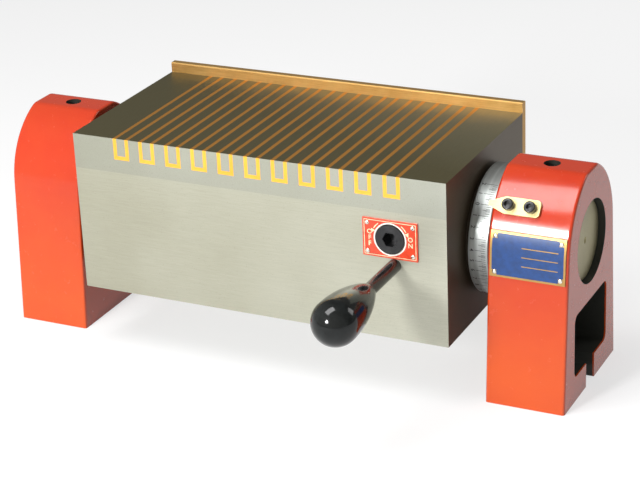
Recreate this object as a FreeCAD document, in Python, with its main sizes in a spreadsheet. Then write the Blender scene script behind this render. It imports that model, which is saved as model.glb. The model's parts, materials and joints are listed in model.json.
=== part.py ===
import FreeCAD, Part

import math
import os
import re

import Sketcher
from FreeCAD import Placement, Rotation, Vector

# Tilting permanent magnetic chuck: a steel chuck body hung on two trunnions between two cast brackets.
# X runs along the chuck, -Y is the front with the switch and the handle, Z is up. Millimetres.
# The origin lies on the machine table, under the middle of the tilt axis.

SIZES = {
    # chuck body
    "body_length": 300,
    "body_width": 150,
    "body_height": 125,
    "body_shift": 3,  # the body's middle lies this far in front of the tilt axis
    "axis_height": 112.5,
    "plate_thickness": 27,
    "wall_thickness": 16,
    "cover_ledge": 12,
    "cover_thickness": 8,
    # poles in the top plate
    "pole_count": 11,
    "pole_pitch": 21.8,
    "channel_width": 13,
    "channel_wall": 3,
    "channel_depth": 16.5,
    # end brackets
    "end_gap": 19,
    "bracket_thickness": 60,
    "bracket_height": 168,
    "foot_width": 114,
    "waist_width": 99,
    "shoulder_height": 116,
    "barrel_radius": 60,
    "crown_radius": 12,
    "edge_radius": 2,
    "foot_thickness": 19,
    "pocket_width": 71,
    "pocket_height": 49,
    "pocket_depth": 46,
    "pocket_corner": 6,
    "slot_width": 18,
    # trunnions, thrust washers and graduated ring
    "trunnion_diameter": 62,
    "running_clearance": 0.08,
    "trunnion_recess": 5,
    "trunnion_chamfer": 1.5,
    "centre_hole": 5,
    "flange_width": 13,
    "flange_thickness": 12,
    "spigot_diameter": 50,
    "spigot_length": 6,
    "flange_screw_inset": 6,
    "flange_screw_count": 4,
    "washer_inset": 2,
    "washer_clearance": 0.3,
    "ring_wall": 4,
    "ring_groove": 3,
    "ring_gap": 0.4,
    "ring_chamfer": 0.6,
    # clamp screws in the bracket tops
    "clamp_thread": 12,
    "clamp_key": 6,
    "clamp_key_depth": 6,
    "clamp_length": 12,
    "clamp_sink": 4,
    "clamp_tip_gap": 0.9,
    "thread_clearance": 0.05,
    # pointer on the right bracket
    "pointer_angle": 36,
    "pointer_thickness": 2.5,
    "pointer_width": 12.4,
    "pointer_tip": 3,
    "pointer_reach": 2.5,
    "pointer_taper": 12,
    "pointer_length": 38,
    "pointer_corner": 3,
    "pointer_screw_place": 12.5,
    "pointer_screw_pitch": 16.3,
    "pointer_screw_length": 14,
    # nameplate and its pins
    "sheet_thickness": 1.2,
    "nameplate_width": 56,
    "nameplate_height": 33.5,
    "nameplate_level": 98.5,
    "pin_diameter": 2.5,
    "pin_head": 3.4,
    "pin_head_height": 0.9,
    "pin_length": 6,
    "pin_inset": 3.6,
    # switch
    "switch_place": 107.4,
    "switch_drop": 20.4,  # below the joint under the top plate
    "switch_plate_width": 42,
    "switch_plate_height": 29,
    "switch_plate_clearance": 0.5,
    "shaft_diameter": 18,
    "bush_diameter": 24,
    "hub_diameter": 22,
    "hub_sink": 2,
    "hub_stand": 2,
    "disc_diameter": 25,
    "disc_thickness": 4.5,
    "disc_gap": 0.3,
    "crank_diameter": 8,
    "key_size": 10,
    "key_depth": 10,
    # handle
    "handle_place": 110,
    "handle_drop": 20,  # below the switch
    "rod_diameter": 10,
    "rod_thread": 12,
    "rod_reach": 48,
    "rod_in_knob": 14,
    "knob_length": 67,
    "knob_diameter": 34,
    "knob_neck": 14,
    "knob_flank": 130,
    # magnet carriage
    "magnet_width": 4,
    "top_clearance": 0.3,
    "tray_floor": 6,
    "tray_side": 6,
    "tray_end": 4,
    "front_gap": 8,
    "back_gap": 2.5,
    "tray_height": 56,
    "crank_clearance": 0.2,
    "strip_width": 16,
    "strip_height": 8,
    "strip_clearance": 0.05,
    "strip_screw_pitch": 90,
    # back rail
    "rail_thickness": 6.5,
    "rail_height": 45,
    "rail_rise": 8,
    "rail_chamfer": 0.8,
    "rail_travel_down": 8,
    "rail_travel_up": 6,
    "rail_screw_drop": 21.5,
    "rail_screw_pitch": 100,
    "rail_screw_length": 18,
    "slot_clearance": 0.2,
    "flat_washer_diameter": 12,
    "flat_washer_thickness": 1.6,
    # socket head screws
    "large_thread": 6,
    "large_head": 10,
    "large_head_height": 6,
    "large_key": 5,
    "middle_thread": 5,
    "middle_head": 8.5,
    "middle_head_height": 5,
    "middle_key": 4,
    "small_thread": 4,
    "small_head": 7,
    "small_head_height": 4,
    "small_key": 3,
    "head_clearance": 0.3,
    "flange_screw_length": 18,
    "plate_screw_grip": 9,
    "plate_screw_inner": 50,
    "plate_screw_outer": 125,
    "cover_screw_place": 100,
    "cover_screw_length": 14,
    "strip_screw_length": 24,
}

# Places and sizes that follow from the values above.
DERIVED = {
    "body_end": "body_length / 2",
    "body_bottom": "axis_height - body_height / 2",
    "body_top": "axis_height + body_height / 2",
    "body_front": "0 - body_width / 2 - body_shift",
    "body_back": "body_width / 2 - body_shift",
    "plate_bottom": "body_top - plate_thickness",
    "inner_face": "body_end + end_gap",
    "bolt_line": "bracket_thickness / 2",
    "cavity_front": "body_front + wall_thickness",
    "cavity_back": "body_back - wall_thickness",
    "cavity_end": "body_end - wall_thickness",
    "ledge_line": "wall_thickness - cover_ledge / 2",
    "cover_top": "body_bottom + cover_thickness",
    "bore_radius": "trunnion_diameter / 2",
    "trunnion_radius": "trunnion_diameter / 2 - running_clearance",
    "flange_diameter": "trunnion_diameter + 2 * flange_width",
    "flange_screw_circle": "trunnion_diameter + 2 * flange_screw_inset",
    "washer_diameter": "flange_diameter - 2 * washer_inset",
    "ring_diameter": "flange_diameter + 2 * ring_wall",
    "switch_height": "plate_bottom - switch_drop",
    "handle_height": "switch_height - handle_drop",
    "groove_width": "channel_width - 2 * channel_wall",
    "crank_throw": "pole_pitch / 4",
    "carriage_top": "plate_bottom - top_clearance",
    "tray_bottom": "carriage_top - tray_height",
    "block_width": "pole_pitch / 2 - magnet_width",
    "blocks_start": "0 - pole_pitch * (pole_count - 1) / 2 - crank_throw * 2 - block_width / 2",
    "blocks_length": "pole_pitch * pole_count - magnet_width",
    "rail_screw_height": "body_top - rail_screw_drop",
    "nameplate_top": "nameplate_level + nameplate_height",
    "side_slope": "atan((foot_width - waist_width) / 2 / shoulder_height)",
    "barrel_y": "waist_width / 2 - barrel_radius * cos(side_slope)",
    "barrel_z": "shoulder_height - barrel_radius * sin(side_slope)",
}

doc = FreeCAD.newDocument("tilting_magnetic_chuck")
sheet = doc.addObject("Spreadsheet::Sheet", "dims")
for row, (alias, number) in enumerate(SIZES.items(), 1):
    sheet.set(f"A{row}", alias)
    sheet.set(f"B{row}", str(number))
    sheet.setAlias(f"B{row}", alias)
doc.recompute()

TURNS = {
    "x": Rotation(Vector(0, 1, 0), 90),
    "-x": Rotation(Vector(0, 1, 0), -90),
    "y": Rotation(Vector(1, 0, 0), -90),
    "-y": Rotation(Vector(1, 0, 0), 90),
    "z": Rotation(),
    "-z": Rotation(Vector(1, 0, 0), 180),
}
SIDES = {"left": -1, "right": 1}
nodes = []


# ---- helpers ----


def cells(text):
    """A formula in the names above, with every name pointed at its cell of the sheet."""

    def swap(found):
        word = found.group(0)
        if word in DERIVED:
            return "(" + cells(DERIVED[word]) + ")"
        return "dims." + word if word in SIZES else word

    return re.sub(r"[a-z][a-z_]*", swap, str(text))


def bind(thing, **formulas):
    """Tie properties of an object to formulas."""
    for path, text in formulas.items():
        thing.setExpression(path, cells(text))


def place(thing, x, y, z, turn="z"):
    """Turn an object and tie its place to three formulas."""
    thing.Placement = Placement(Vector(), TURNS[turn])
    for axis, text in zip("xyz", (x, y, z)):
        thing.setExpression("Placement.Base." + axis, cells(text))
    return thing


def box(name, low, high):
    """A block from its low corner to its high corner."""
    thing = doc.addObject("Part::Box", name)
    sides = [f"({top}) - ({bottom})" for bottom, top in zip(low, high)]
    bind(thing, Length=sides[0], Width=sides[1], Height=sides[2])
    return place(thing, *low)


def rod(name, radius, length, start, turn="z"):
    """A cylinder from the middle of its first end."""
    thing = doc.addObject("Part::Cylinder", name)
    bind(thing, Radius=radius, Height=length)
    return place(thing, *start, turn)


def hexagon(name, across, length, start, turn="z"):
    """A six-sided prism, sized across its flats."""
    thing = doc.addObject("Part::Prism", name)
    thing.Polygon = 6
    bind(thing, Circumradius=f"({across}) / sqrt(3)", Height=length)
    return place(thing, *start, turn)


def join(name, things):
    thing = doc.addObject("Part::MultiFuse", name)
    thing.Shapes = things
    return thing


def cut(name, base, tools):
    thing = doc.addObject("Part::Cut", name)
    thing.Base = base
    thing.Tool = tools[0] if len(tools) == 1 else join(name + "_tools", tools)
    return thing


def group(name, things):
    """Identical separate pieces kept as one node."""
    thing = doc.addObject("Part::Compound", name)
    thing.Links = things
    return thing


def node(thing, label):
    """Give a finished sub-part its name and put it on the list to export."""
    thing.Label = label
    nodes.append(thing)
    return thing


def sketchOn(body, role, name):
    sketch = body.newObject("Sketcher::SketchObject", name)
    plane = [item for item in body.Origin.OriginFeatures if item.Role == role][0]
    sketch.AttachmentSupport = [(plane, "")]
    sketch.MapMode = "FlatFace"
    return sketch


def hold(sketch, kind, *where, formula=None):
    """Add one constraint, with its value tied to a formula where it has one."""
    number = sketch.addConstraint(Sketcher.Constraint(kind, *where))
    if formula is not None:
        sketch.setExpression(f"Constraints[{number}]", cells(formula))


def outline(sketch, corners):
    """A closed outline of straight lines; each corner is two formulas from the sketch's origin."""
    count = len(corners)
    ring = [Vector(math.cos(i / count * math.tau), math.sin(i / count * math.tau), 0) * 10 for i in range(count)]
    for i in range(count):
        sketch.addGeometry(Part.LineSegment(ring[i], ring[(i + 1) % count]), False)
    for i in range(count):
        hold(sketch, "Coincident", i, 2, (i + 1) % count, 1)
    for i, (across, up) in enumerate(corners):
        hold(sketch, "DistanceX", -1, 1, i, 1, ring[i].x, formula=across)
        hold(sketch, "DistanceY", -1, 1, i, 1, ring[i].y, formula=up)


def padded(name, role, corners, length):
    """A body padded from an outline of straight lines."""
    body = doc.addObject("PartDesign::Body", name)
    sketch = sketchOn(body, role, name + "_outline")
    outline(sketch, corners)
    pad = body.newObject("PartDesign::Pad", name + "_pad")
    pad.Profile = sketch
    bind(pad, Length=length)
    return body, sketch, pad


def turned(name, profile):
    """A body turned about Z from a half profile of (radius, height) corners."""
    body = doc.addObject("PartDesign::Body", name)
    sketch = sketchOn(body, "XZ_Plane", name + "_profile")
    outline(sketch, profile)
    turn = body.newObject("PartDesign::Revolution", name + "_turn")
    turn.Profile = sketch
    turn.ReferenceAxis = (sketch, ["V_Axis"])
    turn.Angle = 360
    return body


def rowAlong(body, sketch, feature, pitch, count):
    """Repeat a feature along the sketch's horizontal axis."""
    pattern = body.newObject("PartDesign::LinearPattern", feature.Name + "_row")
    pattern.Originals = [feature]
    pattern.Direction = (sketch, ["H_Axis"])
    bind(pattern, Length=f"({pitch}) * (({count}) - 1)", Occurrences=count)
    body.Tip = pattern


def edgesOf(feature, test):
    """Names of the edges whose box passes a test."""
    return [f"Edge{n}" for n, edge in enumerate(feature.Shape.Edges, 1) if test(edge.BoundBox)]


def rounded(body, base, name, radius, test):
    """Round the edges that pass a test."""
    doc.recompute()
    fillet = body.newObject("PartDesign::Fillet", name)
    fillet.Base = (base, edgesOf(base, test))
    bind(fillet, Radius=radius)
    return fillet


def screw(name, kind, length, seat, turn):
    """A socket head screw; seat is the middle of its head's underside, turn the way its head points."""
    head = rod(name + "_head", f"{kind}_head / 2", f"{kind}_head_height", ("0", "0", "0"))
    shank = rod(name + "_shank", f"{kind}_thread / 2 - thread_clearance", length, ("0", "0", "0"), "-z")
    socket = hexagon(name + "_socket", f"{kind}_key", f"{kind}_head_height / 2",
                     ("0", "0", f"{kind}_head_height / 2"))
    return place(cut(name, join(name + "_blank", [head, shank]), [socket]), *seat, turn)


def screwHole(name, kind, depth, seat, turn, sink="0"):
    """Tools for a screw's hole below its seat and a counterbore of a given height above it."""
    opposite = turn[1:] if turn[0] == "-" else "-" + turn
    tools = [rod(name, f"{kind}_thread / 2", depth, seat, opposite)]
    if sink != "0":
        tools.append(rod(name + "_sink", f"{kind}_head / 2 + head_clearance", sink, seat, turn))
    return tools


# ---- end brackets ----


def bracketOutline(sketch, grow="0", growth=0):
    """Tapered sides, a barrel arc above each shoulder and a flat crown, all grown outwards by one distance."""
    slope = math.atan((SIZES["foot_width"] - SIZES["waist_width"]) / 2 / SIZES["shoulder_height"])
    foot = SIZES["foot_width"] / 2 + growth / math.cos(slope)
    waist = SIZES["waist_width"] / 2 + growth * math.cos(slope)
    shoulder = SIZES["shoulder_height"] + growth * math.sin(slope)
    top = SIZES["bracket_height"] + growth
    radius = SIZES["barrel_radius"] + growth
    middle = Vector(waist - radius * math.cos(slope), shoulder - radius * math.sin(slope), 0)
    reach = math.asin((top - middle.y) / radius)
    crown = middle.x + radius * math.cos(reach)
    up = Vector(0, 0, 1)
    rightArc = Part.ArcOfCircle(Part.Circle(middle, up, radius), slope, reach)
    mirrored = Vector(-middle.x, middle.y, 0)
    leftArc = Part.ArcOfCircle(Part.Circle(mirrored, up, radius), math.pi - reach, math.pi - slope)
    sketch.addGeometry(Part.LineSegment(Vector(-foot, 0, 0), Vector(foot, 0, 0)), False)
    sketch.addGeometry(Part.LineSegment(Vector(foot, 0, 0), Vector(waist, shoulder, 0)), False)
    sketch.addGeometry(rightArc, False)
    sketch.addGeometry(Part.LineSegment(Vector(crown, top, 0), Vector(-crown, top, 0)), False)
    sketch.addGeometry(leftArc, False)
    sketch.addGeometry(Part.LineSegment(Vector(-waist, shoulder, 0), Vector(-foot, 0, 0)), False)
    hold(sketch, "Coincident", 0, 2, 1, 1)
    hold(sketch, "Tangent", 1, 2, 2, 1)
    hold(sketch, "Coincident", 2, 2, 3, 1)
    hold(sketch, "Coincident", 3, 2, 4, 1)
    hold(sketch, "Tangent", 4, 2, 5, 1)
    hold(sketch, "Coincident", 5, 2, 0, 1)
    hold(sketch, "PointOnObject", 0, 2, -1)
    hold(sketch, "Symmetric", 0, 1, 0, 2, -2)
    hold(sketch, "Symmetric", 5, 1, 1, 2, -2)
    hold(sketch, "Horizontal", 3)
    hold(sketch, "Equal", 2, 4)
    hold(sketch, "DistanceX", -1, 1, 1, 1, foot, formula=f"foot_width / 2 + {grow} / cos(side_slope)")
    hold(sketch, "DistanceX", -1, 1, 1, 2, waist, formula=f"waist_width / 2 + {grow} * cos(side_slope)")
    hold(sketch, "DistanceY", -1, 1, 1, 2, shoulder, formula=f"shoulder_height + {grow} * sin(side_slope)")
    hold(sketch, "DistanceY", -1, 1, 3, 1, top, formula=f"bracket_height + {grow}")
    hold(sketch, "Radius", 2, radius, formula=f"barrel_radius + {grow}")


def bracketPad(name, grow="0", growth=0):
    """The bracket's outline padded from its inner face at X = 0 to its outer face."""
    body = doc.addObject("PartDesign::Body", name)
    sketch = sketchOn(body, "YZ_Plane", name + "_outline")
    bracketOutline(sketch, grow, growth)
    pad = body.newObject("PartDesign::Pad", name + "_pad")
    pad.Profile = sketch
    bind(pad, Length="bracket_thickness")
    return body, pad


def bracketBlank(name):
    """The casting before machining, with its crown and its outer edges rounded."""
    body, pad = bracketPad(name)
    top = SIZES["bracket_height"] - 0.01
    half = SIZES["bracket_thickness"] / 2
    crown = rounded(body, pad, name + "_crown", "crown_radius", lambda b: b.ZMin > top and b.XLength > half)
    rounded(body, crown, name + "_edges", "edge_radius", lambda b: b.XLength < 0.01 and b.ZMax > 0.01)
    return body


def bracketTools(name):
    """Trunnion bore, bolt pocket, open foot slot and clamp screw hole."""
    bore = rod(name + "_bore", "bore_radius", "bracket_thickness + 2", ("-1", "0", "axis_height"), "x")
    block = box(name + "_pocket_block",
                ("bracket_thickness - pocket_depth", "0 - pocket_width / 2", "foot_thickness"),
                ("bracket_thickness + 10", "pocket_width / 2", "foot_thickness + pocket_height"))
    doc.recompute()
    pocket = doc.addObject("Part::Fillet", name + "_pocket")
    pocket.Base = block
    radius = SIZES["pocket_corner"]
    pocket.Edges = [(n, radius, radius) for n, edge in enumerate(block.Shape.Edges, 1)
                    if edge.BoundBox.XLength > 1]
    slot = box(name + "_slot", ("bolt_line", "0 - slot_width / 2", "-1"),
               ("bracket_thickness + 1", "slot_width / 2", "foot_thickness + 1"))
    slotEnd = rod(name + "_slot_end", "slot_width / 2", "foot_thickness + 2", ("bolt_line", "0", "-1"))
    clamp = rod(name + "_clamp", "clamp_thread / 2", "bracket_height - axis_height + 1",
                ("bolt_line", "0", "axis_height"))
    return [bore, pocket, slot, slotEnd, clamp]


def onBarrel(angle, lift):
    """Y and Z of a point on the front's barrel arc, standing off by lift."""
    return (f"0 - barrel_y - (barrel_radius + ({lift})) * cos({angle})",
            f"barrel_z + (barrel_radius + ({lift})) * sin({angle})")


def onSide(height, lift):
    """Y and Z of a point on the front's tapered side, standing off by lift."""
    return (f"0 - foot_width / 2 + ({height}) * tan(side_slope) - ({lift}) * cos(side_slope)",
            f"({height}) + ({lift}) * sin(side_slope)")


def leaned(thing, x, spot, angle):
    """Put a Z-facing piece on the front so that it faces forward, angle above level."""
    place(thing, x, *spot)
    thing.Placement = Placement(thing.Placement.Base, Rotation(Vector(1, 0, 0), 90))
    thing.setExpression("Placement.Rotation.Angle", cells(f"90 deg - ({angle})"))
    return thing


def pointerPieces():
    """The brass pointer and its two screws; gives back the tools that cut their threads in the casting."""
    end = "pointer_length - pointer_reach"
    taper = "pointer_taper - pointer_reach"
    half = "pointer_width / 2"
    angle = "pointer_angle * 1 deg"
    body, _, pad = padded("pointer_body", "XY_Plane", [
        ("0 - pointer_reach", "0 - pointer_tip / 2"),
        (taper, "0 - " + half),
        (end, "0 - " + half),
        (end, half),
        (taper, half),
        ("0 - pointer_reach", "pointer_tip / 2"),
    ], "pointer_thickness")
    right = SIZES["pointer_length"] - SIZES["pointer_reach"] - 0.01
    rounded(body, pad, "pointer_corners", "pointer_corner", lambda b: b.XMin > right and b.ZLength > 1)
    seats = ["pointer_screw_place", "pointer_screw_place + pointer_screw_pitch"]
    holes = [rod(f"pointer_hole_{n}", "middle_thread / 2", "pointer_thickness + 2", (x, "0", "-1"))
             for n, x in enumerate(seats, 1)]
    plate = cut("pointer_plate", body, holes)
    node(leaned(plate, "inner_face", onBarrel(angle, "0"), angle), "pointer")
    screws = [leaned(screw(f"pointer_screw_{n}", "middle", "pointer_screw_length", ("0", "0", "0"), "z"),
                     f"inner_face + {x}", onBarrel(angle, "pointer_thickness"), angle)
              for n, x in enumerate(seats, 1)]
    node(group("pointer_screw_pair", screws), "pointer_screws")
    return [leaned(rod(f"pointer_thread_{n}", "middle_thread / 2", "pointer_screw_length + 2", ("0", "0", "0")),
                   x, onBarrel(angle, "0 - pointer_screw_length"), angle)
            for n, x in enumerate(seats, 1)]


def drivePin(name):
    """A small pin with a low head, its underside at the origin."""
    head = rod(name + "_head", "pin_head / 2", "pin_head_height", ("0", "0", "0"))
    shank = rod(name + "_shank", "pin_diameter / 2 - thread_clearance", "pin_length", ("0", "0", "0"), "-z")
    return join(name, [head, shank])


def nameplatePieces(blank):
    """The thin plate bent to the casting's front and its four drive pins; gives back the pin holes."""
    outer, _ = bracketPad("nameplate_outer", "sheet_thickness", SIZES["sheet_thickness"])
    window = box("nameplate_window",
                 ("bolt_line - nameplate_width / 2", "0 - foot_width", "nameplate_level"),
                 ("bolt_line + nameplate_width / 2", "0", "nameplate_top"))
    strip = doc.addObject("Part::Common", "nameplate_strip")
    strip.Base = outer
    strip.Tool = window
    low = "nameplate_level + pin_inset"
    rise = "asin((nameplate_top - pin_inset - barrel_z) / barrel_radius)"
    spots = []
    for x in ("bolt_line - nameplate_width / 2 + pin_inset", "bolt_line + nameplate_width / 2 - pin_inset"):
        spots.append((x, lambda lift: onSide(low, lift), "side_slope"))
        spots.append((x, lambda lift: onBarrel(rise, lift), rise))
    holes = [leaned(rod(f"nameplate_hole_{n}", "pin_diameter / 2", "pin_length + 3", ("0", "0", "0")),
                    x, spot("0 - pin_length"), angle) for n, (x, spot, angle) in enumerate(spots, 1)]
    plate = cut("nameplate_sheet", strip, [blank] + holes)
    node(place(plate, "inner_face", "0", "0"), "nameplate")
    pins = [leaned(drivePin(f"nameplate_pin_{n}"), f"inner_face + {x}", spot("sheet_thickness"), angle)
            for n, (x, spot, angle) in enumerate(spots, 1)]
    node(group("nameplate_pin_set", pins), "nameplate_pins")
    return holes


def clampPieces(side, x):
    """The grub screw in the bracket's crown and the brass pad that it presses on the trunnion."""
    tip = "bracket_height - clamp_sink - clamp_length"
    radius = "clamp_thread / 2 - thread_clearance"
    shank = rod(f"clamp_shank_{side}", radius, "clamp_length", ("0", "0", "0"))
    socket = hexagon(f"clamp_socket_{side}", "clamp_key", "clamp_key_depth + 1",
                     ("0", "0", "clamp_length - clamp_key_depth"))
    node(place(cut(f"clamp_grub_{side}", shank, [socket]), x, "0", tip), f"clamp_screw_{side}")
    plug = rod(f"clamp_plug_{side}", radius, f"{tip} - clamp_tip_gap - axis_height", (x, "0", "axis_height"))
    hollow = rod(f"clamp_hollow_{side}", "bore_radius", "clamp_thread * 2",
                 (f"{x} - clamp_thread", "0", "axis_height"), "x")
    node(cut(f"clamp_saddle_{side}", plug, [hollow]), f"clamp_pad_{side}")


for side, sign in SIDES.items():
    blank = bracketBlank(f"bracket_{side}_blank")
    tools = bracketTools(f"bracket_{side}")
    if side == "right":
        tools += pointerPieces() + nameplatePieces(blank)
    casting = place(cut(f"bracket_{side}_casting", blank, tools), f"{sign} * inner_face", "0", "0")
    if side == "left":
        casting.Placement = Placement(casting.Placement.Base, Rotation(Vector(0, 0, 1), 180))
    node(casting, f"bracket_{side}")
    clampPieces(side, f"{sign} * (inner_face + bolt_line)")


# ---- trunnions, thrust washers and graduated ring ----


def flangeSeats():
    """Y and Z of each flange screw, none of them straight above the axis."""
    count = SIZES["flange_screw_count"]
    angles = [f"{(n + 0.5) * 360 / count} * 1 deg" for n in range(count)]
    return [(f"flange_screw_circle / 2 * cos({angle})", f"axis_height + flange_screw_circle / 2 * sin({angle})")
            for angle in angles]


def trunnionPieces(side, sign):
    """A flanged trunnion with its six screws and its thrust washer, on one end of the body."""
    outward = "x" if sign > 0 else "-x"
    end = "end_gap + bracket_thickness - trunnion_recess"
    body = turned(f"trunnion_{side}_blank", [
        ("0", "0 - spigot_length"),
        ("spigot_diameter / 2", "0 - spigot_length"),
        ("spigot_diameter / 2", "0"),
        ("flange_diameter / 2", "0"),
        ("flange_diameter / 2", "flange_thickness"),
        ("trunnion_radius", "flange_thickness"),
        ("trunnion_radius", f"{end} - trunnion_chamfer"),
        ("trunnion_radius - trunnion_chamfer", end),
        ("centre_hole / 2", end),
        ("0", f"{end} - centre_hole"),
    ])
    place(body, f"{sign} * body_end", "0", "axis_height", outward)
    seatX = f"{sign} * (body_end + flange_thickness - large_head_height - head_clearance)"
    holes = []
    screws = []
    for n, (y, z) in enumerate(flangeSeats(), 1):
        holes += screwHole(f"flange_hole_{side}_{n}", "large", "flange_thickness", (seatX, y, z), outward,
                           "large_head_height + 1")
        screws.append(screw(f"flange_screw_{side}_{n}", "large", "flange_screw_length", (seatX, y, z), outward))
    node(cut(f"trunnion_{side}_drilled", body, holes), f"trunnion_{side}")
    node(group(f"flange_screw_set_{side}", screws), f"flange_screws_{side}")
    depth = "end_gap - flange_thickness - washer_clearance"
    disc = rod(f"washer_disc_{side}", "washer_diameter / 2", depth,
               (f"{sign} * (body_end + flange_thickness)", "0", "axis_height"), outward)
    eye = rod(f"washer_eye_{side}", "trunnion_radius + washer_clearance", f"{depth} + 2",
              (f"{sign} * (body_end + flange_thickness - 1)", "0", "axis_height"), outward)
    node(cut(f"washer_ring_{side}", disc, [eye]), f"thrust_washer_{side}")


for side, sign in SIDES.items():
    trunnionPieces(side, sign)

ringEnd = "end_gap - ring_gap"
ring = turned("ring_blank", [
    ("flange_diameter / 2", "ring_groove"),
    ("ring_diameter / 2 - ring_chamfer", "ring_groove"),
    ("ring_diameter / 2", "ring_groove + ring_chamfer"),
    ("ring_diameter / 2", f"{ringEnd} - ring_chamfer"),
    ("ring_diameter / 2 - ring_chamfer", ringEnd),
    ("flange_diameter / 2", ringEnd),
])
node(place(ring, "body_end", "0", "axis_height", "x"), "graduated_ring")


# ---- chuck body: housing, cover and top plate ----


def holesAt(name, kind, spots, z, depth, sink="0"):
    """Upright screw holes with their heads below, at a list of (x, y) spots."""
    tools = []
    for n, (x, y) in enumerate(spots, 1):
        tools += screwHole(f"{name}_{n}", kind, depth, (x, y, z), "-z", sink)
    return tools


def screwsAt(name, kind, length, spots, z):
    """Upright screws with their heads below, as one group."""
    return group(name + "_set", [screw(f"{name}_{n}", kind, length, (x, y, z), "-z")
                                 for n, (x, y) in enumerate(spots, 1)])


longWalls = ("body_front + ledge_line", "body_back - ledge_line")
plateSpots = [(f"{i} * {x}", y) for x in ("plate_screw_inner", "plate_screw_outer") for i in (-1, 1)
              for y in longWalls]
coverSpots = [(f"{i} * cover_screw_place", y) for i in (-1, 0, 1) for y in longWalls]
coverSpots += [(f"{i} * (body_end - ledge_line)", "0 - body_shift") for i in (-1, 1)]
stripSpots = [f"{i} * strip_screw_pitch" for i in (-1, 0, 1)]
railSpots = [f"{i} * rail_screw_pitch" for i in (-1, 0, 1)]
plateSeat = "cover_top + head_clearance + large_head_height"
coverSeat = "body_bottom + small_head_height + head_clearance"
stripGrip = "strip_screw_length + small_head_height - strip_width"
railGrip = "rail_screw_length - rail_thickness - flat_washer_thickness"
switchHalfWide = "switch_plate_width / 2"
switchHalfHigh = "switch_plate_height / 2"
switchPins = [(f"switch_place + {i} * ({switchHalfWide} - pin_inset)",
               f"switch_height + {j} * ({switchHalfHigh} - pin_inset)") for i in (-1, 1) for j in (-1, 1)]


def housing():
    """The body's frame: four walls, open above and below, with a ledge for the bottom cover."""
    block = box("housing_block", ("0 - body_end", "body_front", "body_bottom"),
                ("body_end", "body_back", "plate_bottom"))
    tools = [
        box("housing_cavity", ("0 - cavity_end", "cavity_front", "body_bottom - 1"),
            ("cavity_end", "cavity_back", "plate_bottom + 1")),
        box("housing_ledge", ("0 - cavity_end - cover_ledge", "cavity_front - cover_ledge", "body_bottom - 1"),
            ("cavity_end + cover_ledge", "cavity_back + cover_ledge", "cover_top")),
        rod("housing_bush_hole", "bush_diameter / 2", "wall_thickness + 2",
            ("switch_place", "body_front - 1", "switch_height"), "y"),
        rod("housing_handle_hole", "rod_diameter / 2", "rod_thread",
            ("handle_place", "body_front", "handle_height"), "y"),
    ]
    tools += holesAt("housing_plate_hole", "large", plateSpots, plateSeat, "body_height",
                     "large_head_height + 1")
    tools += holesAt("housing_cover_hole", "small", coverSpots, coverSeat, "cover_screw_length")
    for side, sign in SIDES.items():
        inward = "-x" if sign > 0 else "x"
        tools.append(rod(f"housing_spigot_{side}", "spigot_diameter / 2", "spigot_length",
                         (f"{sign} * body_end", "0", "axis_height"), inward))
        for n, (y, z) in enumerate(flangeSeats(), 1):
            tools.append(rod(f"housing_flange_hole_{side}_{n}", "large_thread / 2", "wall_thickness - 1",
                             (f"{sign} * body_end", y, z), inward))
    for n, x in enumerate(stripSpots, 1):
        tools.append(rod(f"housing_strip_front_{n}", "small_thread / 2", stripGrip,
                         (x, "cavity_front", stripLevel), "-y"))
        tools.append(rod(f"housing_strip_back_{n}", "small_thread / 2", stripGrip,
                         (x, "cavity_back", stripLevel), "y"))
    for n, (x, z) in enumerate(switchPins, 1):
        tools.append(rod(f"housing_pin_{n}", "pin_diameter / 2", "pin_length", (x, "body_front", z), "y"))
    return cut("housing_shell", block, tools)


stripLevel = "tray_bottom - strip_clearance - strip_height / 2"
node(housing(), "chuck_housing")

coverPlate = box("cover_plate", ("0 - cavity_end - cover_ledge", "cavity_front - cover_ledge", "body_bottom"),
                 ("cavity_end + cover_ledge", "cavity_back + cover_ledge", "cover_top"))
coverTools = holesAt("cover_hole", "small", coverSpots, coverSeat, "cover_thickness", "cover_thickness")
node(cut("cover_drilled", coverPlate, coverTools), "bottom_cover")
node(screwsAt("cover_screw", "small", "cover_screw_length", coverSpots, coverSeat), "cover_screws")

firstPole = "0 - pole_pitch * (pole_count - 1) / 2"
grooveBottom = "body_top - channel_depth"
barBottom = "body_top - channel_depth + channel_wall"
grooveLeft = f"{firstPole} - channel_width / 2"
grooveRight = f"{firstPole} + channel_width / 2"
barLeft = f"{firstPole} - groove_width / 2"
barRight = f"{firstPole} + groove_width / 2"


def polePlate():
    """The steel top plate with its row of grooves from front to back."""
    body, sketch, _ = padded("plate_body", "XZ_Plane", [
        ("0 - body_end", "plate_bottom"),
        ("body_end", "plate_bottom"),
        ("body_end", "body_top"),
        ("0 - body_end", "body_top"),
    ], "body_width")
    profile = sketchOn(body, "XZ_Plane", "plate_groove_outline")
    outline(profile, [(grooveLeft, grooveBottom), (grooveRight, grooveBottom),
                      (grooveRight, "body_top + 1"), (grooveLeft, "body_top + 1")])
    groove = body.newObject("PartDesign::Pocket", "plate_groove")
    groove.Profile = profile
    groove.Type = "ThroughAll"
    groove.Midplane = True
    rowAlong(body, sketch, groove, "pole_pitch", "pole_count")
    return place(body, "0", "body_back", "0")


plateTools = holesAt("plate_thread", "large", plateSpots, "plate_bottom", "plate_screw_grip")
plateTools += [rod(f"plate_rail_thread_{n}", "large_thread / 2", railGrip,
                   (x, "body_back", "rail_screw_height"), "-y") for n, x in enumerate(railSpots, 1)]
node(cut("plate_drilled", polePlate(), plateTools), "pole_plate")
plateScrewLength = f"plate_bottom + plate_screw_grip - ({plateSeat})"
node(screwsAt("plate_screw", "large", plateScrewLength, plateSpots, plateSeat), "plate_screws")

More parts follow.
